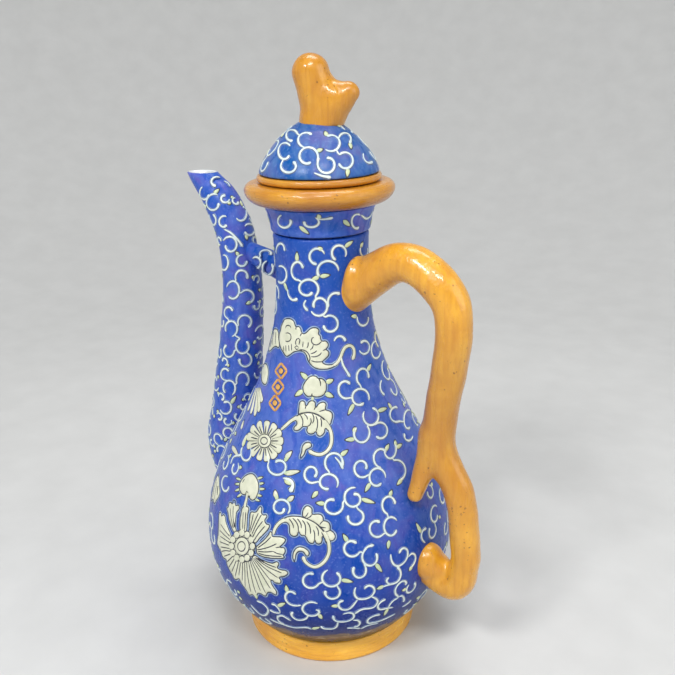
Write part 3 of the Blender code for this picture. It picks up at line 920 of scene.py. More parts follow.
def ramp(tree, factor, *stops):
    """A run of colours or greys: stops are (place, colour)."""
    node = add_node(tree, "ValToRGB", {"Fac": factor})
    marks = node.color_ramp.elements
    while len(marks) < len(stops):
        marks.new(0.5)
    for mark, (place, colour) in zip(marks, stops):
        mark.position = place
        mark.color = (*colour, 1) if len(colour) == 3 else (*colour * 3, 1)
    return node.outputs["Color"]


def slope(tree, factor, low, high, at_low, at_high):
    """A grey that runs evenly from one value to another between two values of a factor."""
    return ramp(tree, factor, (low, (at_low,)), (high, (at_high,)))


def blend(tree, factor, one, two):
    node = add_node(tree, "Mix", data_type='RGBA')
    for socket, value in zip((node.inputs[0], node.inputs[6], node.inputs[7]), (factor, one, two)):
        feed(tree, socket, (*value, 1) if isinstance(value, tuple) else value)
    return node.outputs[2]


def combined(tree, one, two, operation='ADD'):
    node = add_node(tree, "Math", operation=operation)
    for socket, value in zip(node.inputs, (one, two)):
        feed(tree, socket, value)
    return node.outputs[0]


def product(tree, one, two):
    return combined(tree, one, two, 'MULTIPLY')


def by_height(tree, low, high, at_low, at_high):
    """A share that changes evenly between two heights in mm."""
    height = add_node(tree, "SeparateXYZ", {"Vector": object_place(tree)}).outputs["Z"]
    span = {"From Min": low * MM, "From Max": high * MM, "To Min": at_low, "To Max": at_high}
    return add_node(tree, "MapRange", {"Value": height, **span}).outputs["Result"]


def toned(light, *colours):
    """Colours with their red, green and blue scaled."""
    return [tuple(np.multiply(light, colour).tolist()) for colour in colours]


def new_look(name, **sockets):
    material = bpy.data.materials.new(name)
    material.use_nodes = True
    tree = material.node_tree
    shader = tree.nodes["Principled BSDF"]
    for socket, value in sockets.items():
        shader.inputs[socket.replace("_", " ")].default_value = value
    return material, tree, shader


def set_bump(tree, shader, height, strength, distance):
    bump = add_node(tree, "Bump", {"Height": height, "Strength": strength, "Distance": distance * MM})
    tree.links.new(bump.outputs["Normal"], shader.inputs["Normal"])


# Colours, and where along the pattern or the height they come
COBALT = ((0.004, 0.082, 0.44), (0.030, 0.092, 0.48), (0.108, 0.112, 0.48))
COBALT_STOPS = (0.36, 0.50, 0.66)
COBALT_PALE = (0.105, 0.195, 0.60)
COBALT_SPECK = (0.34, 0.43, 0.80)
# Painted sheen: the paler blue laid on the body half-way up
BODY_PAINTED_SHEEN = (0.130, 0.195, 0.58)
# Heights where the body turns deeper: on the neck, then two low zones of painted shade
BODY_ZONES = ((120, 150, 0.0, 0.70, (0.008, 0.070, 0.40)), (26, 85, 0.92, 0.0, (0.000, 0.032, 0.30)),
              (20, 42, 0.85, 0.0, (0.001, 0.010, 0.10)))
CLAY = ((0.030, 0.020, 0.020), (0.16, 0.100, 0.068), (0.30, 0.215, 0.15))
CLAY_STOPS = (0.30, 0.50, 0.68)
CLAY_SLIP = (0.50, 0.45, 0.32)
# Painted shade: near-black laid in the crevice where the body meets the foot, between these heights
CLAY_CREVICE_SHADE = (0.010, 0.007, 0.006)
CREVICE_SHADE_HEIGHTS = (14.6, 16.0)
OCHRE = ((0.60, 0.240, 0.016), (0.72, 0.325, 0.028), (0.80, 0.40, 0.050))
OCHRE_STOPS = (0.3, 0.55, 0.75)
OCHRE_STREAK = (0.50, 0.175, 0.012)
OCHRE_HAIR = (0.46, 0.155, 0.010)
OCHRE_SPECK = (0.16, 0.050, 0.010)
OCHRE_PAINTED_SHADE = (0.27, 0.085, 0.012)


def body_tones(tree, colour, strokes):
    """The body's enamel: paler half-way up under a painted sheen, deeper low down under painted shade, and
    deeper on the neck.
    """
    # Painted sheen half-way up, broken up by the brush strokes
    middle = product(tree, by_height(tree, 60, 105, 0.0, 0.40), by_height(tree, 112, 145, 1.0, 0.0))
    sheen_share = product(tree, middle, slope(tree, strokes, 0.3, 0.7, 0.3, 1.3))
    colour = blend(tree, sheen_share, colour, BODY_PAINTED_SHEEN)
    # Deeper on the neck, and painted shade low down
    for low, high, at_low, at_high, deeper in BODY_ZONES:
        colour = blend(tree, by_height(tree, low, high, at_low, at_high), colour, deeper)
    return colour


def bare_foot(tree, colour):
    """Streaked bare clay under a ragged edge of enamel, with painted shade in the crevice above the foot.
    """
    ragged = product(tree, combined(tree, pattern(tree, 170, 4), -0.45), 3.0)
    rise = by_height(tree, BARE_LOW, 2 * BARE_HIGH - BARE_LOW, 0.0, 2.0)
    edge = slope(tree, combined(tree, rise, ragged), 0.35, 0.65, 0, 1)
    clay = ramp(tree, pattern(tree, 240, 5, (1, 1, 5)), *zip(CLAY_STOPS, CLAY))
    spilt = slope(tree, pattern(tree, 190, 2, (1, 1, 2.5)), 0.62, 0.68, 0, 0.8)
    clay = blend(tree, spilt, clay, CLAY_SLIP)
    # Painted shade in the crevice above the foot
    clay = blend(tree, by_height(tree, *CREVICE_SHADE_HEIGHTS, 0.95, 0.0), clay, CLAY_CREVICE_SHADE)
    return blend(tree, edge, clay, colour)


def blue_enamel(name, body=False, light=(1, 1, 1)):
    """Cobalt enamel, brushed on unevenly; light scales its colours."""
    material, tree, shader = new_look(name, Coat_Weight=0.05, Coat_Roughness=0.12, Specular_IOR_Level=0.18)
    clouds = pattern(tree, 80, 5, warp=0.8)
    strokes = pattern(tree, 210, 5, (1, 1, 0.45), 1.2)
    grain = pattern(tree, 1100, 3)
    deep = ramp(tree, clouds, *zip(COBALT_STOPS, toned(light, *COBALT)))
    colour = blend(tree, slope(tree, strokes, 0.42, 0.75, 0, 0.7), deep, *toned(light, COBALT_PALE))
    if body:
        colour = body_tones(tree, colour, strokes)
    colour = blend(tree, slope(tree, grain, 0.58, 0.76, 0, 0.28), colour, COBALT_SPECK)
    if body:
        colour = bare_foot(tree, colour)
    tree.links.new(colour, shader.inputs["Base Color"])
    tree.links.new(slope(tree, strokes, 0.3, 0.8, 0.24, 0.40), shader.inputs["Roughness"])
    set_bump(tree, shader, combined(tree, strokes, product(tree, grain, 0.3)), 0.35, 0.25)
    return material


def ochre_slip(name, grain_line, light, shade=None):
    """Glossy ochre slip with brush streaks, darker pools and fine dark specks.

    Light scales its colours. Shade holds two slopes of painted shade in brown, each two heights in mm and
    the share at each.
    """
    material, tree, shader = new_look(name, Coat_Weight=0.5, Coat_Roughness=0.08)
    pools = pattern(tree, 55, 3, warp=0.4)
    streaks = pattern(tree, 260, 4, grain_line, 0.5)
    hairs = pattern(tree, 700, 3, tuple(share ** 1.6 for share in grain_line), 0.3)
    pits = pattern(tree, 480, 2)
    clusters = slope(tree, pattern(tree, 110, 2), 0.45, 0.6, 0.75, 1.0)
    specks = product(tree, pattern(tree, 900, 1), clusters)
    streak, hair = toned(light, OCHRE_STREAK, OCHRE_HAIR)
    colour = ramp(tree, pools, *zip(OCHRE_STOPS, toned(light, *OCHRE)))
    colour = blend(tree, slope(tree, streaks, 0.42, 0.74, 0.0, 0.52), colour, streak)
    colour = blend(tree, slope(tree, hairs, 0.46, 0.72, 0.0, 0.4), colour, hair)
    colour = blend(tree, slope(tree, specks, 0.67, 0.73, 0, 0.75), colour, OCHRE_SPECK)
    # Painted shade in brown, between the given heights
    if shade:
        share = product(tree, by_height(tree, *shade[0]), by_height(tree, *shade[1]))
        colour = blend(tree, share, colour, OCHRE_PAINTED_SHADE)
    tree.links.new(colour, shader.inputs["Base Color"])
    tree.links.new(slope(tree, streaks, 0.3, 0.8, 0.22, 0.38), shader.inputs["Roughness"])
    set_bump(tree, shader, combined(tree, combined(tree, streaks, hairs), pits), 0.55, 0.35)
    return material


def plain_slip(name, light, dark, roughness):
    """Slip or enamel of one colour, a little uneven in tone, gloss and height."""
    material, tree, shader = new_look(name, Coat_Weight=0.2, Coat_Roughness=0.15)
    uneven = pattern(tree, 300.0, 3, warp=0.4)
    tree.links.new(ramp(tree, uneven, (0.32, dark), (0.62, light)), shader.inputs["Base Color"])
    tree.links.new(slope(tree, uneven, 0.3, 0.7, roughness + 0.1, roughness), shader.inputs["Roughness"])
    set_bump(tree, shader, uneven, 0.3, 0.08)
    return material


# Pieces of the pot

def inset(line, distance):
    """An outline that runs upwards, moved inwards square to itself."""
    along = np.gradient(line, axis=0)
    along /= np.linalg.norm(along, axis=1)[:, None]
    return line - np.c_[along[:, 1], -along[:, 0]] * distance


def body_lines():
    """Outer and inner outlines of body and neck together, from the bottom up."""
    lower = tall_runs("pear_body")
    upper = tall_runs("neck")
    return [smooth_run(np.vstack([low[:-1], high[1:]]), WALL_STEP) for low, high in zip(lower, upper)]


OUTER, INNER = body_lines()
SKIN = inset(OUTER, RELIEF)
BODY = Turned(smooth_run(SKIN, SKIN_STEP))
CORE = inset(OUTER, LUTE)


def body_radius(z):
    return float(np.interp(z, OUTER[:, 1], OUTER[:, 0]))


def core_mesh():
    """The body filled solid, a little smaller than its skin, which trims what is luted on."""
    profile = np.vstack([(0, CORE[0, 1]), CORE, (0, CORE[-1, 1])])
    return turned_mesh("core", profile, False, CORE_SEGMENTS)


def spout_line():
    keys = list(SPOUT_ROOT)
    keys += [(-body_radius(z) - gap - radius, 0, z, radius) for gap, z, radius in SPOUT_STATIONS]
    return smooth_run(keys + [SPOUT_TIP], TUBE_STEP, even=False)


def handle_line():
    keys = [HANDLE_START]
    keys += [(body_radius(z) + gap + radius, 0, z, radius) for gap, z, radius in HANDLE_STATIONS]
    return smooth_run(keys + list(HANDLE_END), TUBE_STEP, even=False)


SPOUT_LINE = spout_line()
SPOUT = Tube(smooth_run(SPOUT_LINE, TUBE_SKIN_STEP, even=False))
BRIDGE = Tube(smooth_run(BRIDGE_ENDS, TUBE_SKIN_STEP))
HANDLE_LINE = handle_line()
HANDLE = Tube(HANDLE_LINE)
BRANCH_LINE = HANDLE_LINE.copy()
BRANCH_LINE[-FOOT_PLACES:, 3] = np.minimum(BRANCH_LINE[-FOOT_PLACES:, 3], FOOT_RADIUS)


def strainer_mesh():
    """Cutters of the holes behind the spout: one in the middle and a ring round it."""
    holes = []
    for index in range(STRAINER_HOLES + 1):
        turn = 2 * math.pi * index / STRAINER_HOLES
        ring = STRAINER_RING if index else 0
        y = ring * math.sin(turn)
        z = BELLY_Z + STRAINER_RISE + ring * math.cos(turn)
        ends = (-BELLY_RADIUS - HOLE_OUT, -BELLY_RADIUS + HOLE_IN)
        path = np.array([(x, y, z, HOLE_RADIUS) for x in ends])
        holes.append(tube_mesh("hole", path, HOLE_SIDES))
    return joined_mesh("strainer", holes)


def make_body(material):
    loop = np.vstack([SKIN, INNER[::-1]])
    mesh = turned_mesh("body", soften(loop, True), True, BODY_SEGMENTS)
    mesh = cut_away(mesh, strainer_mesh(), "body")
    add_piece(mesh, [material], "pot", ("pear_body", "neck"))


def make_turned(name, node, material, body, corner=CORNER):
    """A turned piece in place of its node, with worn corners that stay inside the node's outline."""
    outline, closed = fine_outline(node, corner)
    points, _ = half_outline(node)
    worn = np.clip(soften(outline, closed), np.min(points, 0), np.max(points, 0))
    add_piece(turned_mesh(name, worn, closed), [material], body, (node,))


def make_spout(blue, white):
    """A hollow spout, blue outside and white inside, with a rounded level lip."""
    sides = SPOUT_SIDES
    bore = SPOUT_LINE.copy()
    bore[:, 3] -= np.linspace(SPOUT_WALL, SPOUT_LIP, len(SPOUT_LINE))
    outer = rings(SPOUT_LINE, sides, mouth=MOUTH_RINGS)
    inner = rings(bore, sides, mouth=MOUTH_RINGS)
    lip = (outer[-sides:] + inner[-sides:]) / 2 + (0, 0, LIP_RISE)
    back = [inner[start:start + sides] for start in range(len(inner) - sides, -1, -sides)]
    points = np.vstack([outer, lip] + back)
    count = len(points) // sides
    faces = grid_faces(count, sides, closed=True)
    last = (count - 1) * sides
    for side in range(sides):
        after = (side + 1) % sides
        faces.append((last + side, last + after, after, side))
    mesh = make_mesh("spout_tube", points, faces)
    mesh.materials.append(blue)
    mesh.materials.append(white)
    inside = len(SPOUT_LINE) * sides
    mesh.polygons.foreach_set("material_index", [int(index >= inside) for index in range(len(faces))])
    clean(mesh)
    mesh = cut_away(mesh, core_mesh(), "spout_tube")
    add_piece(mesh, [], "pot", ("spout",))


def make_bridge(material):
    mesh = tube_mesh("bridge", smooth_run(BRIDGE_ENDS, BRIDGE_STEP), flatness=BRIDGE_FLATNESS)
    mesh = cut_away(mesh, core_mesh(), "bridge")
    hollow = SPOUT_LINE.copy()
    hollow[:, 3] -= BRIDGE_SINK
    mesh = cut_away(mesh, tube_mesh("spout_core", hollow), "bridge")
    add_piece(mesh, [material], "pot", ("spout_bridge",))


def lump(centre, radii):
    """A round lump of clay."""
    work = bmesh.new()
    bmesh.ops.create_icosphere(work, subdivisions=4, radius=MM)
    shape = Matrix.Translation(Vector(centre) * MM) @ Matrix.Diagonal((*radii, 1))
    bmesh.ops.transform(work, matrix=shape, verts=work.verts)
    mesh = bpy.data.meshes.new("lump")
    work.to_mesh(mesh)
    work.free()
    return mesh


def roughen(mesh, size, depth):
    """Uneven hand-worked surface: soft dents about size across."""
    mesh.update()
    normals = [vertex.normal.copy() for vertex in mesh.vertices]
    for vertex, normal in zip(mesh.vertices, normals):
        dent = noise.noise(vertex.co / (size * MM)) - DENT_LEVEL
        vertex.co += normal * (dent * depth * MM)


def nearest_ball(points, line):
    """Signed distance from points to the skin of a run of balls, and the way out from the nearest."""
    away = points[:, None] - line[None, :, :3]
    reach = np.linalg.norm(away, axis=2)
    best = (reach - line[:, 3]).argmin(axis=1)
    rows = np.arange(len(points))
    return reach[rows, best] - line[best, 3], away[rows, best] / reach[rows, best][:, None]


def soft_join(mesh, line, branch, width):
    """Clay pressed into the fork between two limbs: the skin moves out to a fillet about width across."""
    points = np.array([vertex.co for vertex in mesh.vertices]) / MM
    for _ in range(JOIN_ROUNDS):
        first, first_way = nearest_ball(points, line)
        second, second_way = nearest_ball(points, branch)
        share = np.clip(0.5 + 0.5 * (second - first) / width, 0, 1)
        depth = second * (1 - share) + first * share - width * share * (1 - share)
        way = second_way * (1 - share)[:, None] + first_way * share[:, None]
        points -= np.clip(depth, -width / 6, 0)[:, None] * way
    mesh.vertices.foreach_set("co", (points * MM).ravel())


def make_handle(material):
    fork = HANDLE_LINE[abs(HANDLE_LINE[:, 2] - FORK_Z).argmin()]
    spur = smooth_run(np.vstack([(*fork[:3], SPUR_ROOT), SPUR]), TUBE_STEP)
    parts = [tube_mesh("branch", BRANCH_LINE), tube_mesh("spur", rounded_tip(spur), TWIG_SIDES)]
    parts += [lump(*shape) for shape in ROOT_LUMPS]
    mesh = modelled("branch_handle", parts, HANDLE_VOXEL)
    soft_join(mesh, BRANCH_LINE, spur[spur[:, 2] < SPUR[0][2]], HANDLE_FILLET)
    roughen(mesh, *HANDLE_DENTS)
    mesh = cut_away(mesh, core_mesh(), "branch_handle")
    add_piece(mesh, [material], "pot", ("handle", "handle_spur"))


def crown_mesh():
    """The top of the dome filled solid, a little lower than its skin, which trims the knob."""
    outline, _ = fine_outline("lid_dome")
    crown = outline[:outline[:, 0].argmax() + 1] if outline[0, 1] > outline[-1, 1] else outline[::-1]
    crown = crown[:crown[:, 0].argmax() + 1]
    profile = np.vstack([crown - (0, KNOB_SINK), (0, crown[-1, 1] - KNOB_SINK)])
    return turned_mesh("crown_core", profile, False, CROWN_SEGMENTS)


def make_knob(material):
    stub = smooth_run(KNOB, KNOB_STEP, even=False)
    twig = smooth_run(TWIG, KNOB_STEP, even=False)
    parts = [tube_mesh("limb", rounded_tip(line), TWIG_SIDES) for line in (stub, twig)]
    mesh = modelled("knob_branch", parts, KNOB_VOXEL)
    soft_join(mesh, stub, twig[twig[:, 0] > TWIG_CLEAR], KNOB_FILLET)
    mesh.transform(Matrix.Rotation(KNOB_TURN, 4, 'Z'))
    roughen(mesh, *KNOB_DENTS)
    mesh = cut_away(mesh, crown_mesh(), "knob_branch")
    add_piece(mesh, [material], "lid", ("knob", "knob_twig"))


# Studio

def make_floor():
    """A round pale floor that rises into a wall on all sides, so that every view has plain ground."""
    material, tree, shader = new_look("pale_floor", Roughness=0.85)
    fine = pattern(tree, 40, 4)
    pale = ramp(tree, fine, (0.3, (0.63, 0.63, 0.62)), (0.7, (0.67, 0.67, 0.66)))
    tree.links.new(pale, shader.inputs["Base Color"])
    rise = np.linspace(0, math.pi / 2, COVE_ROWS)
    curve = np.c_[COVE_FLAT + COVE_BEND * np.sin(rise), COVE_BEND * (1 - np.cos(rise))]
    profile = np.vstack([(1.0, 0.0), curve, (COVE_FLAT + COVE_BEND, COVE_TOP)])
    turn = np.linspace(0, 2 * math.pi, COVE_SEGMENTS, endpoint=False)
    points = [(radius * math.cos(angle), radius * math.sin(angle), up)
              for radius, up in profile for angle in turn]
    faces = grid_faces(len(profile), len(turn), closed=True) + [tuple(range(len(turn)))]
    mesh = make_mesh("floor", points, faces)
    mesh.materials.append(material)
    mesh.polygons.foreach_set("use_smooth", [True] * len(faces))
    floor = bpy.data.objects.new("floor", mesh)
    bpy.context.collection.objects.link(floor)


def add_area(name, right, up, ahead, size, power):
    """An area light aimed at the pot; its place is given as the camera sees it: right, up and away."""
    place = ACROSS * right + AWAY * ahead + UP * up
    data = bpy.data.lights.new(name, 'AREA')
    data.shape = 'RECTANGLE'
    data.size, data.size_y = (length * MM for length in size)
    data.energy = power
    light = bpy.data.objects.new(name, data)
    light.location = Vector(place) * MM
    light.rotation_euler = (Vector(LIGHT_AIM) - Vector(place)).to_track_quat('-Z', 'Y').to_euler()
    bpy.context.collection.objects.link(light)


def make_light():
    world = bpy.data.worlds.new("studio")
    world.use_nodes = True
    sky = world.node_tree.nodes["Background"]
    sky.inputs["Color"].default_value = (0.86, 0.91, 1.0, 1)
    sky.inputs["Strength"].default_value = 0.4
    bpy.context.scene.world = world
    add_area("key", -420, 780, -520, (260, 120), 4.2)
    add_area("second", 60, 900, -560, (300, 90), 2.8)
    add_area("fill", 700, 520, -380, (600, 600), 1.7)
    add_area("top", 100, 1100, 250, (600, 300), 3.4)


# Work on the skins, read off the photograph

LINK_REACH = 6.5           # pixels, or mm in a group, over which a scroll grows out of another
LEAF_REACH = 4.5           # pixels over which a leaf's root moves onto a scroll

# Scrolls that the photograph shows: centre x and y, half width and half height in pixels,
# start and sweep in degrees, share of the radius left at the end
BODY_SCROLLS = (
    (281, 251, 4.5, 8, 200, -200), (317, 257, 8, 8.5, 20, 250), (328, 271, 10.5, 10, 0, 215, 1.0),
    (339, 253, 7, 7.5, -30, 275, 1.05), (364, 250, 4, 7, 160, 220),
    (298, 270.5, 6.5, 9.5, 270, -255, 0.8), (308, 289, 10.5, 10, -40, 365, 0.5),
    (319, 306, 9, 10, -150, 350, 0.55), (330, 324, 8, 8.5, 120, -290), (336, 302, 8, 9, 200, -140, 1.0),
    (281, 275, 6, 9, 110, -235), (294, 291, 6, 9, 170, 135, 1.0), (363, 318, 6, 8, 170, 200),
    (364, 347, 5.5, 7, -150, 290), (376, 350, 5, 9, 100, 250), (340, 343, 6, 7, 165, -150, 0.9),
    (363, 377, 6.5, 9, 240, -250), (346, 389, 8, 9.5, 280, -235, 0.7), (360, 398, 9, 9.5, -15, 325, 0.65),
    (371, 416, 8, 9.5, 150, 290, 0.85), (361, 433, 8.5, 10, 40, -265, 0.75),
    (380, 431, 7.5, 8.5, 130, -260), (396, 414, 6.5, 8, 290, -215), (408, 420, 4.5, 10, 70, 230),
    (386, 386, 6, 9, 140, 115, 1.0), (408, 435, 4.5, 6, 350, -185), (390, 449, 6, 9.5, 190, 210, 1.0),
    (381, 458, 7.5, 9.5, 265, -225, 0.9), (396, 471, 9.5, 11, 100, -165, 0.95),
    (377, 478, 8.5, 10, 0, 315, 0.7), (362, 468, 8.5, 9.5, -50, -330, 0.42),
    (334, 463, 9, 10, 230, -255, 0.95), (312, 474, 8, 9, -70, -340, 0.4),
    (328, 483, 10, 9.5, -30, 310, 0.6), (333, 505, 10, 9.5, 10, -300, 0.5),
    (354, 498, 10, 10.5, 80, 380, 0.3), (355, 517, 8.5, 8, 60, -255), (389, 505, 7, 9, 250, -245, 0.85),
    (391, 527, 7.5, 10, 40, 300, 0.75), (377, 528, 8, 9, 300, -240, 0.7), (427, 535, 6, 8, 250, -150),
    (352, 548, 8.5, 8.5, 330, -285, 0.75), (370, 557, 8, 9, 115, 275, 0.85), (359, 570, 7, 8, 40, -250),
    (311, 580, 8.5, 8, -30, -265, 0.8), (332, 578, 10, 9, 115, 300, 0.75), (332, 592, 8, 7, 40, -235),
    (278, 466, 10, 9.5, 150, 335, 0.45), (281, 508, 9, 9, -40, 400, 0.3),
    (246, 452, 5.5, 9, 390, -250, 0.8), (226, 484, 4, 8, 60, 280),
)
# Loose strokes between scrolls, through pixels
BODY_STROKES = (
    ((363, 551), (368, 546.5), (374, 545)), ((341, 357), (343, 365), (347, 372), (350, 377)),
    ((335, 457), (340, 463), (343, 469)), ((231, 464), (234, 457), (241, 455)),
    ((267, 452), (268, 458), (269, 462)), ((306, 300), (304, 305), (308, 311)),
    ((301, 605), (296, 605.5), (291, 604.5), (287.5, 602), (285.5, 598), (286, 594), (289, 591.5),
     (293, 592), (296, 594.4)),
    ((317.5, 603.5), (313, 602), (308, 602.5), (304, 605), (302.5, 608.5), (304, 612), (308, 615),
     (313, 615.7), (317, 614.5), (319.4, 612), (318.4, 610), (315.8, 609.8)),
    ((308.4, 615.4), (306, 618.4), (302, 619.8), (297, 619.5), (293, 617), (291.5, 614), (292.8, 611.8)),
    ((280.4, 612.4), (279, 609), (277, 606.5), (274.5, 604.4), (271.5, 604)),
    ((280.4, 612.6), (276.5, 612.6), (272.6, 611.3), (270, 609.5)),
    ((284, 623.4), (280, 621.6), (277.8, 618.8), (278, 616.4), (282.5, 615.6), (287, 618), (291, 620.5)),
    ((270, 618.5), (276, 621.5), (283, 624), (290, 626.3), (296, 627.4), (302, 627.2), (308, 627.4),
     (311.5, 629)),
    ((338, 622), (336.4, 626.6), (333, 628.4), (328, 628.6), (323, 628), (321, 626)),
    ((342.8, 614), (347, 612.7), (352, 613), (354, 615.4), (352.4, 618.6), (347, 621), (341, 621.6),
     (336, 620.8), (333.6, 618.4), (333.2, 615.4)),
    ((251, 604.5), (255, 609), (260, 613.5), (264.5, 615.2), (267.6, 613), (268.3, 609.5), (266, 606),
     (262, 602.6), (257, 600.8)),
    ((357.4, 599.6), (354, 604), (351, 607.5), (347.5, 609.4), (343, 609.6), (339.5, 607.5), (338.4, 604),
     (340, 601.5), (343.6, 600.5)),
    ((355.8, 587.2), (354.4, 590.5), (354.6, 594.5), (357, 598), (361, 599), (366, 598.5), (370.5, 596.5),
     (373.6, 593), (374.4, 589.5), (372.6, 586.6), (369, 585.4), (365.6, 587), (364.4, 589)),
    ((371, 596.4), (375, 598), (377.5, 600.5), (376.5, 604), (373.5, 607), (368.5, 608.3), (363.5, 608.8),
     (359, 610.5), (354.8, 613.6)),
    ((382, 587), (386, 585.4), (391, 584), (395, 583), (398.6, 580), (400.6, 575), (400, 570.5),
     (397, 566.6)),
    ((391, 584), (387.6, 583), (386.4, 580), (388.8, 577.4)),
    ((390.6, 554.2), (391, 559), (393, 563.5), (397, 566), (402, 564), (406, 559.5), (407.6, 554),
     (406.8, 549.5), (403.5, 548), (400.5, 550), (399, 553.5)),
    ((408, 557), (411.5, 553.5), (414.5, 554.5), (415.4, 558.5), (414, 563), (411, 567.5)),
    ((388, 607.4), (390.4, 603.4), (394, 599.8), (398, 597), (395.8, 594.2), (395, 590), (397, 585.5),
     (400.5, 582), (404, 580.8), (406, 582.4), (405.4, 585)),
    ((398, 597), (401.4, 595.6), (403.6, 598), (403.6, 601.6)),
    ((393, 607.2), (388, 607.8), (383, 609), (379, 609), (377.6, 606.5), (379, 603.5), (382.5, 600.5),
     (385.5, 599.4)),
    ((402, 606.5), (406, 604.3), (411, 600)),
    ((395, 613.5), (388, 617), (380, 620.5), (371, 622.6), (367.8, 622.6), (367.4, 620), (371, 617),
     (376, 615), (380, 614.6)),
    ((378, 622.8), (371, 624.2), (365, 626.2), (361, 628.6)),
    ((353, 620), (357, 620), (359.6, 621.6), (359.5, 624), (357, 626), (353.6, 626.6)),
    ((347, 627.8), (353, 627.6), (360, 628.2)),
)
# Leaf tips on scrolls: root and tip
BODY_LEAVES = (
    (296, 260, 297, 252), (317, 277, 330, 275), (318, 278, 311, 280), (346, 247, 353, 241),
    (357, 247, 363, 242), (285, 284, 288, 292), (357, 317, 351, 316), (322, 251, 318, 247),
    (353, 406, 348, 415), (379, 411, 387, 408), (352, 441, 345, 440), (354, 433, 355, 427),
    (391, 408, 388, 403), (387, 449, 389, 444), (395, 446, 395, 440), (397, 448, 402, 444),
    (404, 481, 397, 485), (369, 484, 365, 492), (340, 455, 348, 450), (318, 491, 312, 498),
    (325, 503, 316, 503), (364, 500, 375, 503), (390, 497, 392, 490), (389, 540, 388, 549),
    (419, 533, 416, 523), (347, 541, 343, 534), (376, 564, 382, 572), (343, 580, 353, 582),
    (287, 592, 286, 585), (318, 614, 322, 619), (340, 605, 331, 606), (286, 460, 291, 451),
    (284, 475, 299, 472), (277, 499, 275, 491), (288, 501, 294, 496), (243, 445, 247, 435),
    (369, 370, 371, 364), (284, 480, 292, 485), (384, 586.4, 376.4, 589), (412, 566, 409, 571),
    (388, 610.6, 384, 615.6), (279.6, 604.4, 285.4, 602.8), (314, 627.2, 320, 627),
    (255.4, 593, 256.8, 599),
)
SPOUT_SCROLLS = (
    (230, 245, 7.5, 8.5, 150, -330, 0.55), (214, 203, 8, 9, 60, 300, 0.55), (205, 193, 5, 7, 120, 225),
    (241, 213, 6, 8, 220, 210), (249, 230, 5.5, 6, 140, -300), (242, 277, 6.5, 7, 200, -220),
    (233, 290, 6.5, 9, 160, -295, 0.95), (247, 297, 7, 7, 140, -200, 0.9),
    (229, 312.5, 4.5, 6, 250, -235), (245, 322, 7, 7, 205, -265, 0.85),
    (231, 328.5, 6.5, 8, -80, 290, 0.8), (243, 346, 7, 8, 120, 290, 0.75), (229, 350, 5.5, 7, 350, -230),
    (245, 360, 6.5, 7, 60, -255), (225.5, 374, 4.5, 6, 270, -240), (243, 380, 6.5, 8, 200, -260),
    (229, 388, 6.5, 8, -60, 290, 0.8), (226, 407, 6, 7, 200, 280, 0.7), (224, 263, 4.5, 8, 100, -220),
    (224, 222, 5, 6, 60, 260, 0.7), (217, 182, 6, 5, 60, 200),
)
SPOUT_STROKES = (((224, 229), (231, 233), (238, 240), (243, 247)), ((224, 181), (228, 183.5), (230, 187)))
SPOUT_LEAVES = (
    (241, 207, 240, 200), (247, 233, 247, 240), (250, 300, 246, 304), (233, 402, 236, 396),
    (214, 193, 219, 189),
)
DOME_SCROLLS = (
    (331, 143, 9, 8.5, 230, 250, 0.85), (345, 140, 6.5, 7, 160, -195), (345, 161, 8, 8.5, 130, -290),
    (327, 164, 9.5, 10, 150, 305, 0.55), (308, 157, 10, 10, -20, 320, 0.6), (307, 140, 9, 8, 250, -200),
    (370, 155, 7, 9, 170, 125), (285, 152, 7, 9, 40, 290, 0.7), (289, 166, 8, 7, 150, 260, 0.8),
    (292, 136, 6, 6, 20, 260),
)
DOME_STROKES = (((314, 173), (322, 176), (331, 177.5)),)
DOME_LEAVES = ((327, 138, 325, 131), (348, 170, 347, 177), (318, 152, 323, 149), (353, 145, 351, 149))
COLLAR_SCROLLS = (
    (357, 222, 6, 8, 60, 235, 0.7), (311, 222, 8, 5.5, 60, -250, 0.8), (285, 221, 7, 7, 120, 260),
)
COLLAR_STROKES = (
    ((361, 215), (366, 218.5), (370, 216), (372, 211)), ((318, 219), (325, 219), (333, 217.5)),
)
COLLAR_LEAVES = ((343, 220, 350, 226), (299, 226, 309, 234), (319, 219, 318, 214))
BRIDGE_SCROLLS = (
    (268, 268, 5.5, 7, 100, 300, 0.9), (256, 263, 5, 6, 130, -260), (266, 254, 6, 4, 200, -220),
)

# Flowers and leaves that the photograph shows, in pixels
CHRYSANTHEMUM = (242.5, 546)
CHRYSANTHEMUM_CORE = (10.4, 13.2)
CHRYSANTHEMUM_BEADS = 12
CHRYSANTHEMUM_LOW = (
    (232.5, 539), (230.5, 533), (228, 527), (226, 521), (225.4, 516.6), (223.6, 514.6), (222, 516),
    (220.6, 512.2), (219.2, 514.6), (219, 520), (218.6, 526), (218.4, 532), (218, 538), (217.2, 543),
    (219, 547.6), (221, 551), (222, 555), (224, 558), (226.4, 559.4), (227, 563.4), (228.4, 567.4),
    (230.4, 571.4), (232.4, 574.4), (234, 578), (236.4, 579.6), (239, 578.4), (241, 582.4), (243.6, 586),
    (246.4, 590), (249.6, 595), (252.4, 594.4), (255.6, 596.6), (258.4, 593), (262, 594), (265.6, 596),
    (268, 592.4), (271.6, 592.4), (276, 594.8), (276.8, 592), (274.4, 588), (272, 584), (271.4, 580),
    (275.4, 582.6), (280.4, 583), (281, 580), (279.4, 577.4), (284, 576.4), (288, 573.2), (286, 570.6),
    (281, 569.6), (277.6, 567.6), (279, 564), (277, 561.6), (272.6, 563), (266, 561.4), (260, 558.6),
    (254.4, 555.4), (251, 560), (246, 561.4), (240, 560.6), (235.4, 557), (232.6, 551.6), (231.6, 545),
)
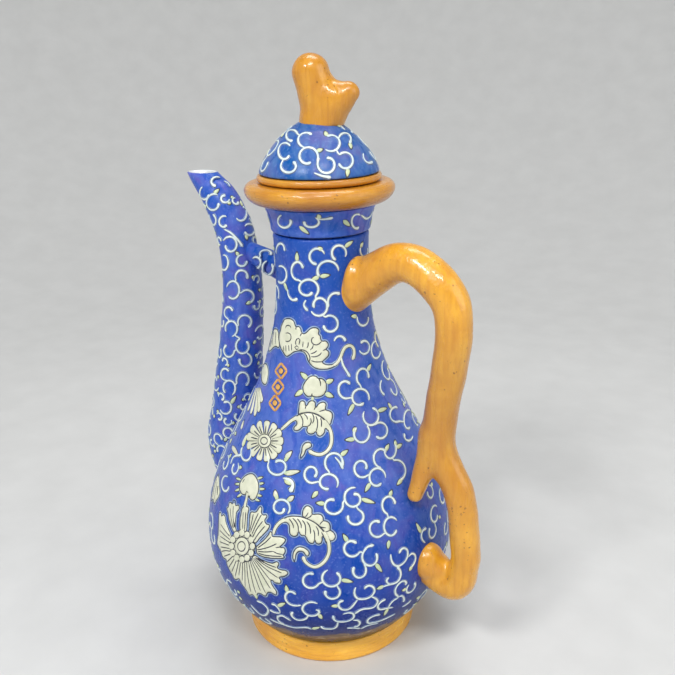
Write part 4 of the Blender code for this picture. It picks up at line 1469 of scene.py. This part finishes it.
CHRYSANTHEMUM_LOW_STROKES = (
    ((230.5, 536), (226, 530.6), (221.6, 524)), ((230.8, 539.4), (226, 535.4), (220.6, 530)),
    ((231, 542.6), (221, 536)), ((231, 545.4), (220.6, 541.4)), ((231.4, 548.4), (221.6, 546.6)),
    ((232, 551), (227, 550.4), (222.4, 551)), ((232.8, 553), (225, 556)), ((234, 555.6), (228, 561.4)),
    ((235.6, 557.6), (229.6, 567)), ((237.4, 559.4), (232.6, 571.4)), ((239.4, 561), (236, 576)),
    ((241.4, 561.6), (239.6, 575)), ((243.4, 562), (243, 580)), ((245.4, 562.2), (246, 586)),
    ((247.4, 562), (248.4, 575), (251.6, 591)), ((249.4, 561.4), (251.4, 573), (256.4, 592)),
    ((250.8, 560.8), (254.4, 572), (261, 590)), ((252, 560), (257, 571), (266, 592)),
    ((253, 559), (260, 570), (271, 588)), ((254, 558), (261, 567), (271, 579.6)),
    ((255, 557.4), (264, 566.6), (278, 577)), ((256, 557), (266, 565), (282, 572.4)),
    ((258, 558), (267, 563.4), (276.6, 567)),
)
CHRYSANTHEMUM_LEFT = (
    (234, 532), (231.6, 527), (229.4, 520), (228, 512), (227, 508.4), (228.6, 507), (229.4, 503),
    (231.4, 502.4), (232.4, 504), (234, 500), (235.6, 501.4), (236, 505.6), (238.6, 505), (239.4, 509),
    (237, 512), (236, 519), (235.6, 526), (236.4, 531.6),
)
CHRYSANTHEMUM_LEFT_STROKES = (
    ((231, 508), (232, 518), (234, 528)), ((234.2, 506), (233.8, 516), (235, 527)),
)
CHRYSANTHEMUM_TOP = (
    (240.4, 531.4), (239.8, 525), (240.6, 517), (242.4, 508.6), (245, 506), (248.8, 508), (248, 514),
    (247.4, 521), (247.2, 527), (246, 531.6),
)
CHRYSANTHEMUM_TOP_STROKES = (
    ((244, 512), (243.6, 522), (243.4, 529)), ((246.4, 512), (245.8, 522), (245.2, 530)),
)
CHRYSANTHEMUM_RIGHT = (
    (249, 533), (249.4, 527), (249.8, 520), (250.2, 514), (252, 511.8), (254.4, 512.4), (256.6, 511.6),
    (259.4, 507.6), (261, 506.6), (262, 509), (261.6, 512.6), (263.6, 515), (266.4, 514.8), (267, 517),
    (265, 520), (266.6, 524), (269.4, 524.8), (269, 528), (265.4, 532.6), (260, 538), (255.4, 543),
    (253.4, 541), (252, 537),
)
CHRYSANTHEMUM_RIGHT_STROKES = (
    ((254, 514), (252.4, 522), (250.6, 530)), ((259, 513), (255, 522), (251.2, 532)),
    ((262, 514.6), (257, 524), (252.6, 534)), ((263.4, 521), (258, 528), (253.2, 537)),
    ((265.4, 526), (259, 533.6), (254.4, 540.6)),
)
CHRYSANTHEMUM_SIDE = (
    (256.4, 546.6), (260, 543.6), (265, 539), (268.6, 534.6), (270.4, 531.6), (272, 532.6), (272.4, 536),
    (276, 536.6), (281, 537), (285.4, 539), (285, 541.6), (282, 545), (280, 547), (284, 547.6),
    (285.4, 550.6), (284.6, 553.4), (283, 555), (284.6, 557), (282.4, 558.2), (277, 558.4), (270, 558),
    (263, 556.6), (257.4, 553.4),
)
CHRYSANTHEMUM_SIDE_STROKES = (
    ((271.4, 536.6), (266, 542), (258.6, 547.4)), ((280, 546.8), (276, 547.4)),
    ((277, 543.4), (270, 546.6), (262, 548.8), (257.8, 549.4)),
    ((282.6, 554), (278, 553.2), (273.6, 551)), ((273.6, 551), (266, 551.6), (258.4, 551)),
    ((282, 556), (272, 555.6), (264, 554.4), (258.6, 552.6)),
)
DAISY = (265, 441)
DAISY_CORE = (6.0, 6.5)
DAISY_REACH = (18.5, 20.5)
STEM_A = (
    (324, 420), (328, 425.5), (330.8, 432), (331.6, 440), (330, 447), (326, 452), (320, 454.6),
    (314, 453.5), (308.5, 450.6),
)
STALK_A = ((281, 430), (287, 424.5), (292, 420.3), (298, 417))
LEAF_A_UPPER = (
    (298.5, 414.5), (299.3, 406), (300, 402.2), (302.5, 400.8), (305, 402.2), (306.2, 405.8), (309, 402),
    (312, 400.6), (315, 402.2), (315.8, 407.2), (318, 404.6), (321, 402.5), (324, 402.2), (326, 404.2),
    (325.6, 409.6), (328.4, 410.6), (331.6, 412.6), (332.6, 416), (331.6, 420), (329.6, 424.6),
    (326.6, 421.6), (323, 418), (318, 414.8), (313, 413), (308, 412.4), (303, 413),
)
LEAF_A_LOWER = (
    (292.6, 419.6), (296.5, 421), (296.8, 424.5), (294.2, 427.5), (294.4, 430), (297, 430.7),
    (300, 429.4), (302.8, 426.6), (304.8, 426.6), (307.4, 427), (306.8, 430), (308, 432.8), (310.6, 434),
    (313.6, 433.4), (316, 431.6), (317, 434.4), (319.6, 436.2), (322.4, 435), (324.6, 432),
    (325.6, 428.4), (328.4, 430.6), (330, 427.6), (327, 423), (323, 418.6), (318, 415.2), (313, 413.3),
    (308, 412.6), (303, 413.4), (298, 415.4),
)
LEAF_A_LOWER_STROKES = (
    ((300.5, 415), (302.8, 419), (303.2, 423), (302.6, 426)),
    ((304.5, 414), (307, 416.5), (307.8, 419.5)),
    ((312.5, 414), (314, 417), (313.8, 421), (312.5, 423.5)),
    ((310.8, 418), (311.4, 422), (310, 425), (307.8, 426.6)),
    ((316, 416), (317.5, 420), (317.6, 426), (316.4, 431)), ((320.5, 418), (321.6, 421.5), (321.4, 427)),
)
LEAF_A_UPPER_STROKES = (
    ((306.2, 406), (305.4, 409)), ((315.6, 407), (314.2, 410)),
    ((325.4, 409.8), (322, 410.6), (319.4, 411.8)),
)
WING_A = (
    (311, 443.4), (311.6, 446), (309, 448.2), (306, 449.8), (304.8, 453), (303, 456), (300.4, 458.2),
    (301.8, 452), (302.4, 447), (304.5, 443.6), (308, 442.2),
)
STEM_B = (
    (324, 531.5), (327.4, 538), (329, 545), (329, 552), (326.5, 558.5), (321.5, 564), (315, 566.8),
    (309.5, 565), (305, 561), (303.3, 556),
)
STALK_B = ((273.5, 534.5), (275, 529), (278, 524.3), (282, 521), (286, 519.4))
LEAF_B_UPPER = (
    (302.4, 516), (303, 511), (304.5, 507.5), (307, 505.8), (309.8, 506.5), (312, 509), (312.3, 514),
    (315, 514.2), (318.5, 514), (321.5, 515), (323.3, 518), (323.4, 520.6), (326, 521), (329, 523),
    (330.3, 526.5), (330.2, 529.8), (332.6, 531.6), (334.8, 534.5), (335, 538), (333, 540.2),
    (330, 540.6), (328.2, 537.6), (325.8, 533.5), (322.3, 529), (318.3, 525), (314, 522), (309, 519.6),
    (305.5, 517.8),
)
LEAF_B_LOWER = (
    (281.6, 521), (285, 518), (291, 516.2), (296, 516.2), (301, 516.8), (306, 518.3), (311, 520.4),
    (316, 523.4), (320, 527.3), (324, 532), (327.5, 537), (328.3, 541.5), (326.6, 543), (324.6, 538.6),
    (322.5, 536.4), (322.2, 540), (321, 543), (318.5, 544), (316, 542.6), (314.9, 540.2), (313.5, 543),
    (310.5, 543), (308, 541), (306.3, 537.5), (304.8, 535.6), (302, 535.6), (300, 533.5), (298.6, 531.6),
    (297.5, 535), (294.5, 536.3), (291.5, 535.3), (289.8, 532.5), (289.6, 528.5), (289, 524.5),
    (286.5, 522.4), (283.4, 522.2),
)
LEAF_B_LOWER_STROKES = (
    ((289.5, 518.5), (292, 522), (293.6, 525.5), (293.8, 528)),
    ((293, 518), (296, 521), (298.3, 525.5), (298.7, 531)),
    ((297.5, 518.4), (300, 521.5), (301.5, 525), (301.5, 528)),
    ((302.5, 520), (305, 523.5), (305.8, 528), (305.8, 535)),
    ((307, 521.5), (309.5, 525), (310.6, 529.5), (310.6, 533.5)),
    ((313.5, 529.5), (314.7, 533), (314.8, 539.6)), ((316, 526), (318.2, 530), (318.6, 535.5)),
    ((321.5, 532), (323, 534.5), (323.8, 537)),
)
LEAF_B_UPPER_STROKES = (
    ((308.5, 512.5), (307, 515), (305.5, 517)), ((312.2, 514.4), (310, 516.8), (307.6, 518)),
    ((323.2, 520.8), (321.4, 522.2), (319.8, 524.4)), ((330, 530), (327.5, 531.2), (325.8, 531.4)),
    ((320.4, 526.8), (323, 527.3), (326, 527.6)),
)
WING_B = (
    (294.4, 562), (293, 558), (293.5, 552.5), (296, 548.5), (299.5, 546.8), (303.5, 547.5), (307, 549.5),
    (309, 552), (309, 554.6), (307, 556), (305.2, 554), (303, 551.6), (300.4, 551), (297.8, 552),
    (296, 554.6), (295.4, 558.4),
)
PEACH = (
    (313.2, 375.8), (316, 376.4), (318.4, 378.4), (321, 378.4), (324, 380), (325.9, 383), (326.3, 387),
    (325.8, 391), (324, 394.2), (321, 396.2), (317, 397), (313.6, 396.6), (311.8, 395.8), (309, 396.8),
    (306, 395.2), (303.7, 391.8), (303, 387.6), (304, 384), (306.3, 380.5), (308.8, 377.6), (311, 376.2),
)
PEACH_STROKES = (
    ((318.4, 378), (320, 380.6), (320.6, 383), (320.8, 386)), ((311.8, 396.4), (312.4, 393.4)),
)
PEACH_STEM = ((312.4, 396.6), (312.6, 398.4), (312.2, 400.6))
PEACH_LEAVES = (
    (308, 379.5, 300.5, 372.5), (325.5, 383, 333.5, 379.5), (303.5, 390, 295, 396),
    (324.5, 393, 333.5, 397),
)
SIDE_PEACH = (
    (261.4, 374), (262.6, 367), (265.4, 363.6), (267.6, 366), (268.6, 372), (268, 378), (266, 384.4),
    (263.4, 383.6), (261.8, 380),
)
BAT = (
    (282.8, 323), (284.5, 319.8), (288, 318.5), (291.5, 319.2), (294, 321.3), (295, 324), (296.3, 326.8),
    (298.8, 326.4), (300.8, 328.6), (301.6, 332), (303.5, 333.8), (306, 332.8), (308.5, 330.5),
    (311, 328.4), (314, 327.5), (317.5, 328.4), (319, 330.6), (318.4, 333.8), (320.2, 336),
    (320.6, 338.6), (322, 341), (325.6, 341), (328, 343.6), (327.8, 346.8), (326, 349.2), (328.6, 351.6),
    (328.6, 355), (326.6, 357.6), (324.4, 359.6), (322.4, 361.8), (325, 364.2), (329, 364.8),
    (333, 364.2), (336.5, 362), (337.5, 363.8), (334, 366.5), (329, 368.6), (323, 369.2), (317, 368.6),
    (312.5, 366), (309, 362), (307.6, 359), (306.6, 355.4), (304, 352), (300.6, 350.8), (297.5, 351),
    (294, 352), (291.4, 353.8), (288.6, 355.8), (286.6, 356.2), (284.6, 354), (283, 351.4), (281, 348),
    (279.8, 344), (279.2, 339), (279.6, 334), (280.8, 330), (281.6, 326),
)
BAT_STROKES = (
    ((286.3, 328), (287, 326), (289, 325.2), (291, 326), (291.8, 328.2)), ((284.4, 346), (284.6, 351)),
    ((286.5, 333), (288.5, 332.8), (291, 334), (291.8, 337.5), (290.8, 340.3), (288.3, 341.5),
     (286.2, 340.8)),
    ((286.6, 345), (286.8, 351.4)), ((289.4, 345), (289.8, 351)), ((292, 343.5), (292.4, 350.4)),
    ((296.6, 345), (296.2, 341.5), (297.3, 339), (299.3, 338.2), (300.5, 339.8), (300, 342.5),
     (299.4, 344.4)),
    ((299.2, 347.4), (297.4, 345.6), (295.4, 347.2), (297, 349.4), (299, 348.6)),
    ((296.4, 327), (296.6, 329.6)), ((302, 333.2), (300.6, 336)), ((303.6, 341.5), (303.2, 347)),
    ((308.6, 342), (308.4, 345.5), (307.2, 348)), ((313.6, 345), (312.5, 348), (310.5, 349.8)),
    ((314, 337), (312.3, 338), (311.7, 340.5), (313, 343.5), (316, 344.8), (319, 343.8), (321.5, 341.4)),
    ((317, 350.5), (314.5, 352.5), (311, 353.7)),
    ((321.5, 352.5), (319.5, 355), (315.5, 356.6), (311.5, 356.6)),
    ((322, 361.6), (315.5, 361.8), (311.5, 360.5)), ((325.8, 349.2), (323, 350.4)),
    ((300, 349.4), (304.5, 350), (307.5, 352), (309.5, 355), (310.3, 358.5), (309.6, 361.4)),
)
BAT_TAIL = (
    (333, 365.8), (337.2, 362.8), (340.5, 357), (342.5, 351.5), (345.5, 347), (350, 345.6),
    (353.4, 348.6), (354, 354), (352.3, 360),
)
BAT_WING = (
    (277.6, 329.5), (275, 328.8), (273.4, 331), (272, 336), (270.6, 341), (269.4, 346), (268.8, 351),
    (271, 350.4), (273.5, 347.6), (276.5, 346.4), (279, 347.6), (279.4, 343), (278.8, 338), (278.8, 333),
)
BAT_WING_STROKES = (
    ((274.6, 332), (273.6, 339), (273.2, 345)), ((276.8, 332), (276.4, 338), (276.2, 344)),
    ((272.6, 340), (271.4, 347)),
)
FAN = (
    (256, 388, 248, 411), (257, 388, 251, 414), (258, 388, 255, 416), (259, 388, 259, 412),
    (260, 388, 262, 402),
)
BUD = (
    (239.6, 488), (240, 483.4), (242.5, 479), (246, 475.5), (250, 473.8), (253.5, 474.2), (256, 477),
    (258, 481), (259, 486), (258.6, 491), (257, 496), (255, 499.2), (252, 500), (249.6, 497.6),
    (247, 495), (243.6, 494.6), (241, 492.4),
)
BUD_STROKES = (
    ((246.4, 493.6), (247.6, 491.4), (249, 492.6)), ((249.4, 497.4), (250.6, 495.6)),
    ((243.4, 482.6), (245.6, 479)),
)
BUD_STALK = ((247.6, 493), (247, 498), (245.8, 503), (244.8, 508))
BUD_FRINGE = (
    (241, 480, 236, 478), (240, 484, 235, 484), (240, 489, 235, 491), (242, 494, 237, 497),
    (257, 479, 263, 477), (259, 484, 264, 483), (259, 489, 265, 489), (257, 495, 262, 496),
    (255, 499, 260, 501),
)
SIDE_FLOWER = (
    (218.5, 474), (216.4, 478), (214.4, 483), (213, 489), (212, 495), (211.6, 501), (213.4, 499.4),
    (214.6, 503.6), (216.4, 500.6), (218.4, 498), (220, 493), (219.6, 486), (219.4, 479),
)
SIDE_FLOWER_STROKES = (
    ((217.6, 479), (215, 488), (213.6, 497)), ((218, 482), (216.6, 490), (215.4, 499)),
    ((218.6, 486), (218, 495)),
)
CREAM_LEAVES = (
    (285, 459, 292, 451), (284, 474, 300, 471), (276, 498, 275, 490), (288, 501, 294, 496),
    (232, 446, 239, 457), (242, 447, 247, 434), (241, 430, 244, 420),
)
COMMA_LOW = ((283, 478), (290, 480), (293, 485), (290, 492))
ORNAMENT = ((281, 371), (278, 387), (275, 403))
ORNAMENT_HALF = (6.0, 8.0)

# Scroll groups that fill the rest of the skins, in mm, as the scrolls above
GROUP_ARCS = (
    (0, 0, 4.5, 4.5, 96, 314, 0.52), (-8.6, 2.4, 3.9, 3.9, 5, -255, 0.85),
    (0.2, 7.6, 3.3, 3.3, 65, -262, 0.85),
)
GROUP_LEAVES = ((4.4, 0.6, 6.8, 1.1), (-12.6, 1.6, -14.8, 0.6), (3.6, -2.6, 5.0, -4.6))
PAIR_ARCS = ((0, 0, 3.9, 3.9, 80, 300, 0.55), (1.0, 6.9, 3.1, 3.1, 75, -265, 0.85))
PAIR_LEAVES = ((3.8, -0.4, 6.0, -0.9),)
SINGLE_ARCS = ((0, 0, 2.9, 2.9, 60, 280, 0.7),)
SINGLE_LEAVES = ((-0.6, -3.0, -1.4, -5.2),)
GROUP = (GROUP_ARCS, GROUP_LEAVES)
PAIR = (PAIR_ARCS, PAIR_LEAVES)
SINGLE = (SINGLE_ARCS, SINGLE_LEAVES)

# How skins are filled with them: tries, then group, gap in mm and size of each round
BODY_FILL = (2500, ((GROUP, 2.2, 1.0), (PAIR, 1.9, 1.0), (SINGLE, 1.7, 1.0)))
SPOUT_FILL = (900, ((PAIR, 1.7, 0.85), (SINGLE, 1.5, 0.9), (SINGLE, 1.15, 0.6)))
DOME_FILL = (700, ((PAIR, 1.7, 0.9), (SINGLE, 1.5, 1.0)))
COLLAR_FILL = (500, ((SINGLE, 1.5, 0.8),))


# Scrolls and motifs that the photograph shows

TIP_WIDTH = 0.85           # half widths of leaves and petals
FILL_TIP_WIDTH = 0.8
LEAF_WIDTH = 1.0
FAN_WIDTH = 1.1
FRINGE_WIDTH = 0.5
DAISY_WIDTH = 1.7          # at most
DAISY_PETALS = 13
STROKE_STEP = 2.0          # pixels
FRUIT_HEIGHT = 0.48
BAT_HEIGHT = 0.44
STALK = {"width": 0.50, "swell": (0.9, 1.3), "height": 0.42, "look": CREAM, "edge": LINE, "outer": EDGE}
COMMA = {"width": 0.55, "swell": (0.6, 1.7), "height": 0.4, "edge": LINE}
TWIG_LINE = {"width": 0.4, "swell": EVEN, "look": LEAF, "edge": LEAF, "outer": LINE}
GILT_LINE = {"width": 0.3, "swell": EVEN, "height": 0.25, "look": GILT, "edge": GILT, "outer": RED}
GILT_DOT = (2.2, 2.9)      # half width and half height in pixels
GILT_DOT_HEIGHT = 0.3
DIAMOND = np.array(((0, -1), (1, 0), (0, 1), (-1, 0), (0, -1)))


def photo_scrolls(skin, arcs, strokes=(), tips=()):
    """Scrolls, loose strokes and leaf tips on a skin."""
    relief = Relief()
    lines = vines(arcs, LINK_REACH) + [smooth_run(pixels, STROKE_STEP) for pixels in strokes]
    for line in lines:
        slip_line(relief, skin, line)
    leaves(relief, skin, rooted(tips, lines, LEAF_REACH), TIP_WIDTH)
    return relief


def lozenge(relief, skin, place):
    """A gilt lozenge with a dot in it."""
    corners = np.array(place) + DIAMOND * ORNAMENT_HALF
    for one, two in zip(corners, corners[1:]):
        slip_line(relief, skin, (one, (one + two) / 2, two), **GILT_LINE)
    pixel_patch(relief, skin, ellipse(place, *GILT_DOT, 12), height=GILT_DOT_HEIGHT, look=GILT)


def photo_motifs(skin):
    """Flowers, leaves, peaches and the bat."""
    relief = Relief()
    for outline, strokes in ((CHRYSANTHEMUM_LOW, CHRYSANTHEMUM_LOW_STROKES),
                             (CHRYSANTHEMUM_LEFT, CHRYSANTHEMUM_LEFT_STROKES),
                             (CHRYSANTHEMUM_TOP, CHRYSANTHEMUM_TOP_STROKES),
                             (CHRYSANTHEMUM_RIGHT, CHRYSANTHEMUM_RIGHT_STROKES),
                             (CHRYSANTHEMUM_SIDE, CHRYSANTHEMUM_SIDE_STROKES)):
        enamel(relief, skin, outline, strokes)
    flower_heart(relief, skin, CHRYSANTHEMUM, CHRYSANTHEMUM_CORE, CHRYSANTHEMUM_BEADS)
    petals(relief, skin, DAISY, DAISY_CORE, ellipse(DAISY, *DAISY_REACH, DAISY_PETALS), DAISY_WIDTH)
    flower_heart(relief, skin, DAISY, DAISY_CORE)
    for stalk in (STEM_A, STALK_A, STEM_B, STALK_B, BAT_TAIL, BUD_STALK):
        slip_line(relief, skin, stalk, **STALK)
    enamel(relief, skin, LEAF_A_UPPER, LEAF_A_UPPER_STROKES)
    enamel(relief, skin, LEAF_A_LOWER, LEAF_A_LOWER_STROKES)
    enamel(relief, skin, LEAF_B_UPPER, LEAF_B_UPPER_STROKES)
    enamel(relief, skin, LEAF_B_LOWER, LEAF_B_LOWER_STROKES)
    for outline in (WING_A, WING_B, SIDE_PEACH):
        enamel(relief, skin, outline)
    slip_line(relief, skin, COMMA_LOW, **COMMA)
    leaves(relief, skin, PEACH_LEAVES, LEAF_WIDTH)
    slip_line(relief, skin, PEACH_STEM, **TWIG_LINE)
    enamel(relief, skin, PEACH, PEACH_STROKES, height=FRUIT_HEIGHT)
    enamel(relief, skin, BAT_WING, BAT_WING_STROKES)
    enamel(relief, skin, BAT, BAT_STROKES, height=BAT_HEIGHT)
    leaves(relief, skin, FAN, FAN_WIDTH, finger, CREAM)
    enamel(relief, skin, SIDE_FLOWER, SIDE_FLOWER_STROKES)
    leaves(relief, skin, BUD_FRINGE, FRINGE_WIDTH)
    enamel(relief, skin, BUD, BUD_STROKES, height=FRUIT_HEIGHT)
    leaves(relief, skin, CREAM_LEAVES, LEAF_WIDTH, drop, CREAM)
    for place in ORNAMENT:
        lozenge(relief, skin, place)
    return relief


# Scrolls set down by chance in the room that is left

chance = np.random.default_rng(7)
FILL_SIZES = (0.88, 1.1)   # shares of a group's size
FILL_MARGIN = 1.0          # more room is asked for round a group's middle
ROOT_GAP = 1.6             # room left round the roots of handle, spout and bridge
SPOUT_GAP = 1.0            # room left between the spout's scrolls and the body
HIDDEN = 0.6               # the body's skin is filled where it faces the camera less squarely than this
COLLAR_HIDDEN = 0.30       # and the collar's
BODY_BAND = (20.0, 169.5)  # heights between which the body is filled
SPOUT_TOP = 181            # height up to which the spout is filled
DOME_MARGINS = (1.2, 3.0)  # left bare above its lower edge and below its upper one
COLLAR_MARGINS = (0.9, 1.5)


def flat_frame(skin, place):
    """A place on a skin with level and upward directions along it."""
    surface, out = (item[0] for item in skin.settle(place))
    level = np.cross((0, 0, 1), out)
    level /= max(np.linalg.norm(level), TINY)
    return surface, level, np.cross(out, level)


def group_lines(skin, place, turn, flip, arcs, tips, size):
    """Lines of a scroll group set down at a place, turned, flipped or not."""
    surface, level, upward = flat_frame(skin, place)

    def laid(flat):
        flat = np.asarray(flat, float) * (flip, 1) * size
        spun = np.c_[flat[:, 0] * math.cos(turn) - flat[:, 1] * math.sin(turn),
                     flat[:, 0] * math.sin(turn) + flat[:, 1] * math.cos(turn)]
        return skin.settle(surface + spun[:, :1] * level + spun[:, 1:] * upward)[0]

    lines = [laid(line) for line in vines(arcs, LINK_REACH)]
    ends = []
    for x0, y0, x1, y1 in tips:
        ends.append(laid([(x0, y0), ((x0 + x1) / 2, (y0 + y1) / 2), (x1, y1)]))
    return lines, ends


def seen(places, normals):
    """How squarely places face the camera."""
    to_eye = EYE - places
    return (to_eye * normals).sum(1) / np.linalg.norm(to_eye, axis=1)


def tree_of(traces):
    """A search tree of all places that scrolls keep clear of."""
    places = np.vstack(traces)
    tree = kdtree.KDTree(len(places))
    for index, place in enumerate(places):
        tree.insert(place, index)
    tree.balance()
    return tree


def fill(relief, skin, draw, tries, group, gap, size, allowed, others):
    """Scroll groups set down at random on what is still free of a skin."""
    arcs, tips = group
    traces = relief.traces + [trace for other in others for trace in other.traces]
    tree = tree_of(traces)
    for _ in range(tries):
        place = draw(skin)
        turn = chance.uniform(0, 2 * math.pi)
        flip = chance.choice((-1, 1))
        grow = size * chance.uniform(*FILL_SIZES)
        if tree.find(place)[2] < gap + FILL_MARGIN or not allowed(place[None]):
            continue
        lines, ends = group_lines(skin, place, turn, flip, arcs, tips, grow)
        every = np.vstack(lines + ends)
        if min(tree.find(point)[2] for point in every[::2]) < gap or not allowed(every):
            continue
        for line in lines:
            ribbon(relief, skin, line)
        for end in ends:
            petal(relief, skin, end, FILL_TIP_WIDTH, drop, LEAF)
        traces += lines + ends
        tree = tree_of(traces)


def fill_rounds(relief, skin, draw, how, allowed, others=()):
    """Large groups first, then smaller ones in what room is left."""
    tries, rounds = how
    for group, gap, size in rounds:
        fill(relief, skin, draw, tries, group, gap, size, allowed, others)


def skin_of(node):
    """The skin of a turned node other than the body: its tallest run, or the outer of two as tall."""
    points, closed = half_outline(node)
    run = max(runs_of(points, closed), key=lambda each: np.ptp(each[:, 1]) * 1000 + each[:, 0].mean())
    run = run if run[0, 1] < run[-1, 1] else run[::-1]
    return Turned(smooth_run(run, SKIN_STEP))


def clear_of_roots(places):
    """Whether places keep clear of the handle, the spout and the bridge."""
    return all((nearest_ball(places, tube.line)[0] > ROOT_GAP).all() for tube in (HANDLE, SPOUT, BRIDGE))


def between(places, low, high):
    return low < places[:, 2].min() and places[:, 2].max() < high


def on_hidden_body(places):
    surface, normals = BODY.settle(places)
    hidden = seen(surface, normals).max() < HIDDEN
    return between(places, *BODY_BAND) and hidden and clear_of_roots(places)


def draw_evenly(skin):
    """A place at random on a turned skin, as likely on its wide parts as they are large."""
    while True:
        radius, height = skin.line[chance.integers(len(skin.line))]
        if chance.uniform(0, BELLY_RADIUS) < radius:
            turn = chance.uniform(-math.pi, math.pi)
            return np.array((radius * math.cos(turn), radius * math.sin(turn), height))


def draw_on(skin):
    """A place at random on a turned skin, or on a level ring round a tube."""
    place = skin.line[chance.integers(len(skin.line))]
    turn = chance.uniform(-math.pi, math.pi)
    x, radius, height = (0, *place) if len(place) == 2 else (place[0], place[3], place[2])
    return np.array((x + radius * math.cos(turn), radius * math.sin(turn), height))


def on_spout(places):
    body, out = BODY.settle(places)
    return ((places - body) * out).sum(1).min() > SPOUT_GAP and places[:, 2].max() < SPOUT_TOP


def on_dome(places):
    return between(places, DOME.line[0, 1] + DOME_MARGINS[0], DOME.line[-1, 1] - DOME_MARGINS[1])


def on_collar(places):
    surface, normals = COLLAR.settle(places)
    inside = between(places, COLLAR.line[0, 1] + COLLAR_MARGINS[0], COLLAR.line[-1, 1] - COLLAR_MARGINS[1])
    return inside and seen(surface, normals).max() < COLLAR_HIDDEN


# The scene

ALONG = (1, 1, 0.2)        # brush streaks that run up and down
ROUND = (0.4, 0.4, 3)      # and round
# Painted shade in brown: on the handle's stem and under the rim
HANDLE_SHADE = ((60, 105, 0.06, 0.40), (125, 150, 1.0, 0.0))
RIM_SHADE = ((RIM_LOW, RIM_HIGH, 0.9, 0.0), (0, 1, 1.0, 1.0))

add_camera()
bpy.context.scene.view_settings.view_transform = 'Standard'
blue_body = blue_enamel("blue_body", body=True)
blue = blue_enamel("blue_enamel")
# The lid's blue is a lighter copy: partly painted light from above, partly its own more cyan tone
blue_lid_lit = blue_enamel("blue_lid_lit", light=(1.05, 1.18, 0.80))
# Painted light: the handle's ochre is a brighter copy of the slip
ochre = ochre_slip("ochre_slip", ALONG, (1.19, 1.30, 1.30), HANDLE_SHADE)
ochre_knob = ochre_slip("ochre_knob", ALONG, (0.92, 0.91, 0.8))
ochre_ring = ochre_slip("ochre_ring", ROUND, (0.95, 0.95, 0.8))
ochre_rim = ochre_slip("ochre_rim", ROUND, (0.95, 0.95, 0.8), RIM_SHADE)
# Painted light: the foot's ochre is a much brighter copy of the slip
ochre_foot_lit = ochre_slip("ochre_foot_lit", ROUND, (1.48, 1.68, 1.72))
white_slip = plain_slip("white_slip", (0.78, 0.86, 0.80), (0.55, 0.68, 0.74), 0.3)
slip_edge = plain_slip("slip_edge", (0.34, 0.46, 0.66), (0.16, 0.26, 0.52), 0.35)
gilt = plain_slip("gilt", (0.75, 0.42, 0.10), (0.55, 0.26, 0.06), 0.3)
red = plain_slip("iron_red", (0.50, 0.14, 0.08), (0.36, 0.09, 0.06), 0.35)
cream = plain_slip("cream_enamel", (0.76, 0.77, 0.61), (0.64, 0.66, 0.50), 0.3)
deep_line = plain_slip("deep_line", (0.012, 0.030, 0.17), (0.008, 0.02, 0.11), 0.4)
dark_line = plain_slip("dark_line", (0.030, 0.034, 0.060), (0.018, 0.02, 0.035), 0.45)
leaf_green = plain_slip("leaf_green", (0.66, 0.72, 0.44), (0.50, 0.62, 0.42), 0.3)
bare = plain_slip("bare_clay", (0.20, 0.125, 0.085), (0.12, 0.07, 0.048), 0.75)
white_glaze = plain_slip("white_glaze", (0.80, 0.82, 0.82), (0.70, 0.73, 0.75), 0.2)

make_body(blue_body)
make_turned("foot", "foot_ring", ochre_foot_lit, "pot", RING_CORNER)
make_turned("base", "base_disc", bare, "pot")
make_turned("collar", "neck_collar", blue, "pot")
make_turned("rim", "mouth_rim", ochre_rim, "pot")
make_spout(blue, white_glaze)
make_bridge(blue)
make_handle(ochre)
make_turned("inner_collar", "lid_collar", bare, "lid")
make_turned("flange", "lid_flange", ochre_ring, "lid", RING_CORNER)
make_turned("dome", "lid_dome", blue_lid_lit, "lid")
make_knob(ochre_knob)

DOME = skin_of("lid_dome")
COLLAR = skin_of("neck_collar")
slips = [white_slip, slip_edge, dark_line, leaf_green, cream, gilt, red, deep_line]
motif_work = photo_motifs(BODY)
far_work = motif_work.mirrored()
body_work = photo_scrolls(BODY, BODY_SCROLLS, BODY_STROKES, BODY_LEAVES)
fill_rounds(body_work, BODY, draw_evenly, BODY_FILL, on_hidden_body, (motif_work, far_work))
spout_work = photo_scrolls(SPOUT, SPOUT_SCROLLS, SPOUT_STROKES, SPOUT_LEAVES)
fill_rounds(spout_work, SPOUT, draw_on, SPOUT_FILL, on_spout)
dome_work = photo_scrolls(DOME, DOME_SCROLLS, DOME_STROKES, DOME_LEAVES)
fill_rounds(dome_work, DOME, draw_on, DOME_FILL, on_dome)
collar_work = photo_scrolls(COLLAR, COLLAR_SCROLLS, COLLAR_STROKES, COLLAR_LEAVES)
fill_rounds(collar_work, COLLAR, draw_on, COLLAR_FILL, on_collar)
bridge_work = photo_scrolls(BRIDGE, BRIDGE_SCROLLS)
for name, work, body in (("body_scrolls", body_work, "pot"), ("motifs", motif_work, "pot"),
                         ("far_motifs", far_work, "pot"), ("spout_scrolls", spout_work, "pot"),
                         ("dome_scrolls", dome_work, "lid"), ("collar_scrolls", collar_work, "pot"),
                         ("bridge_scrolls", bridge_work, "pot")):
    mesh = make_mesh(name, np.vstack(work.points), work.faces)
    add_piece(mesh, slips, body, looks=work.looks)
make_floor()
make_light()
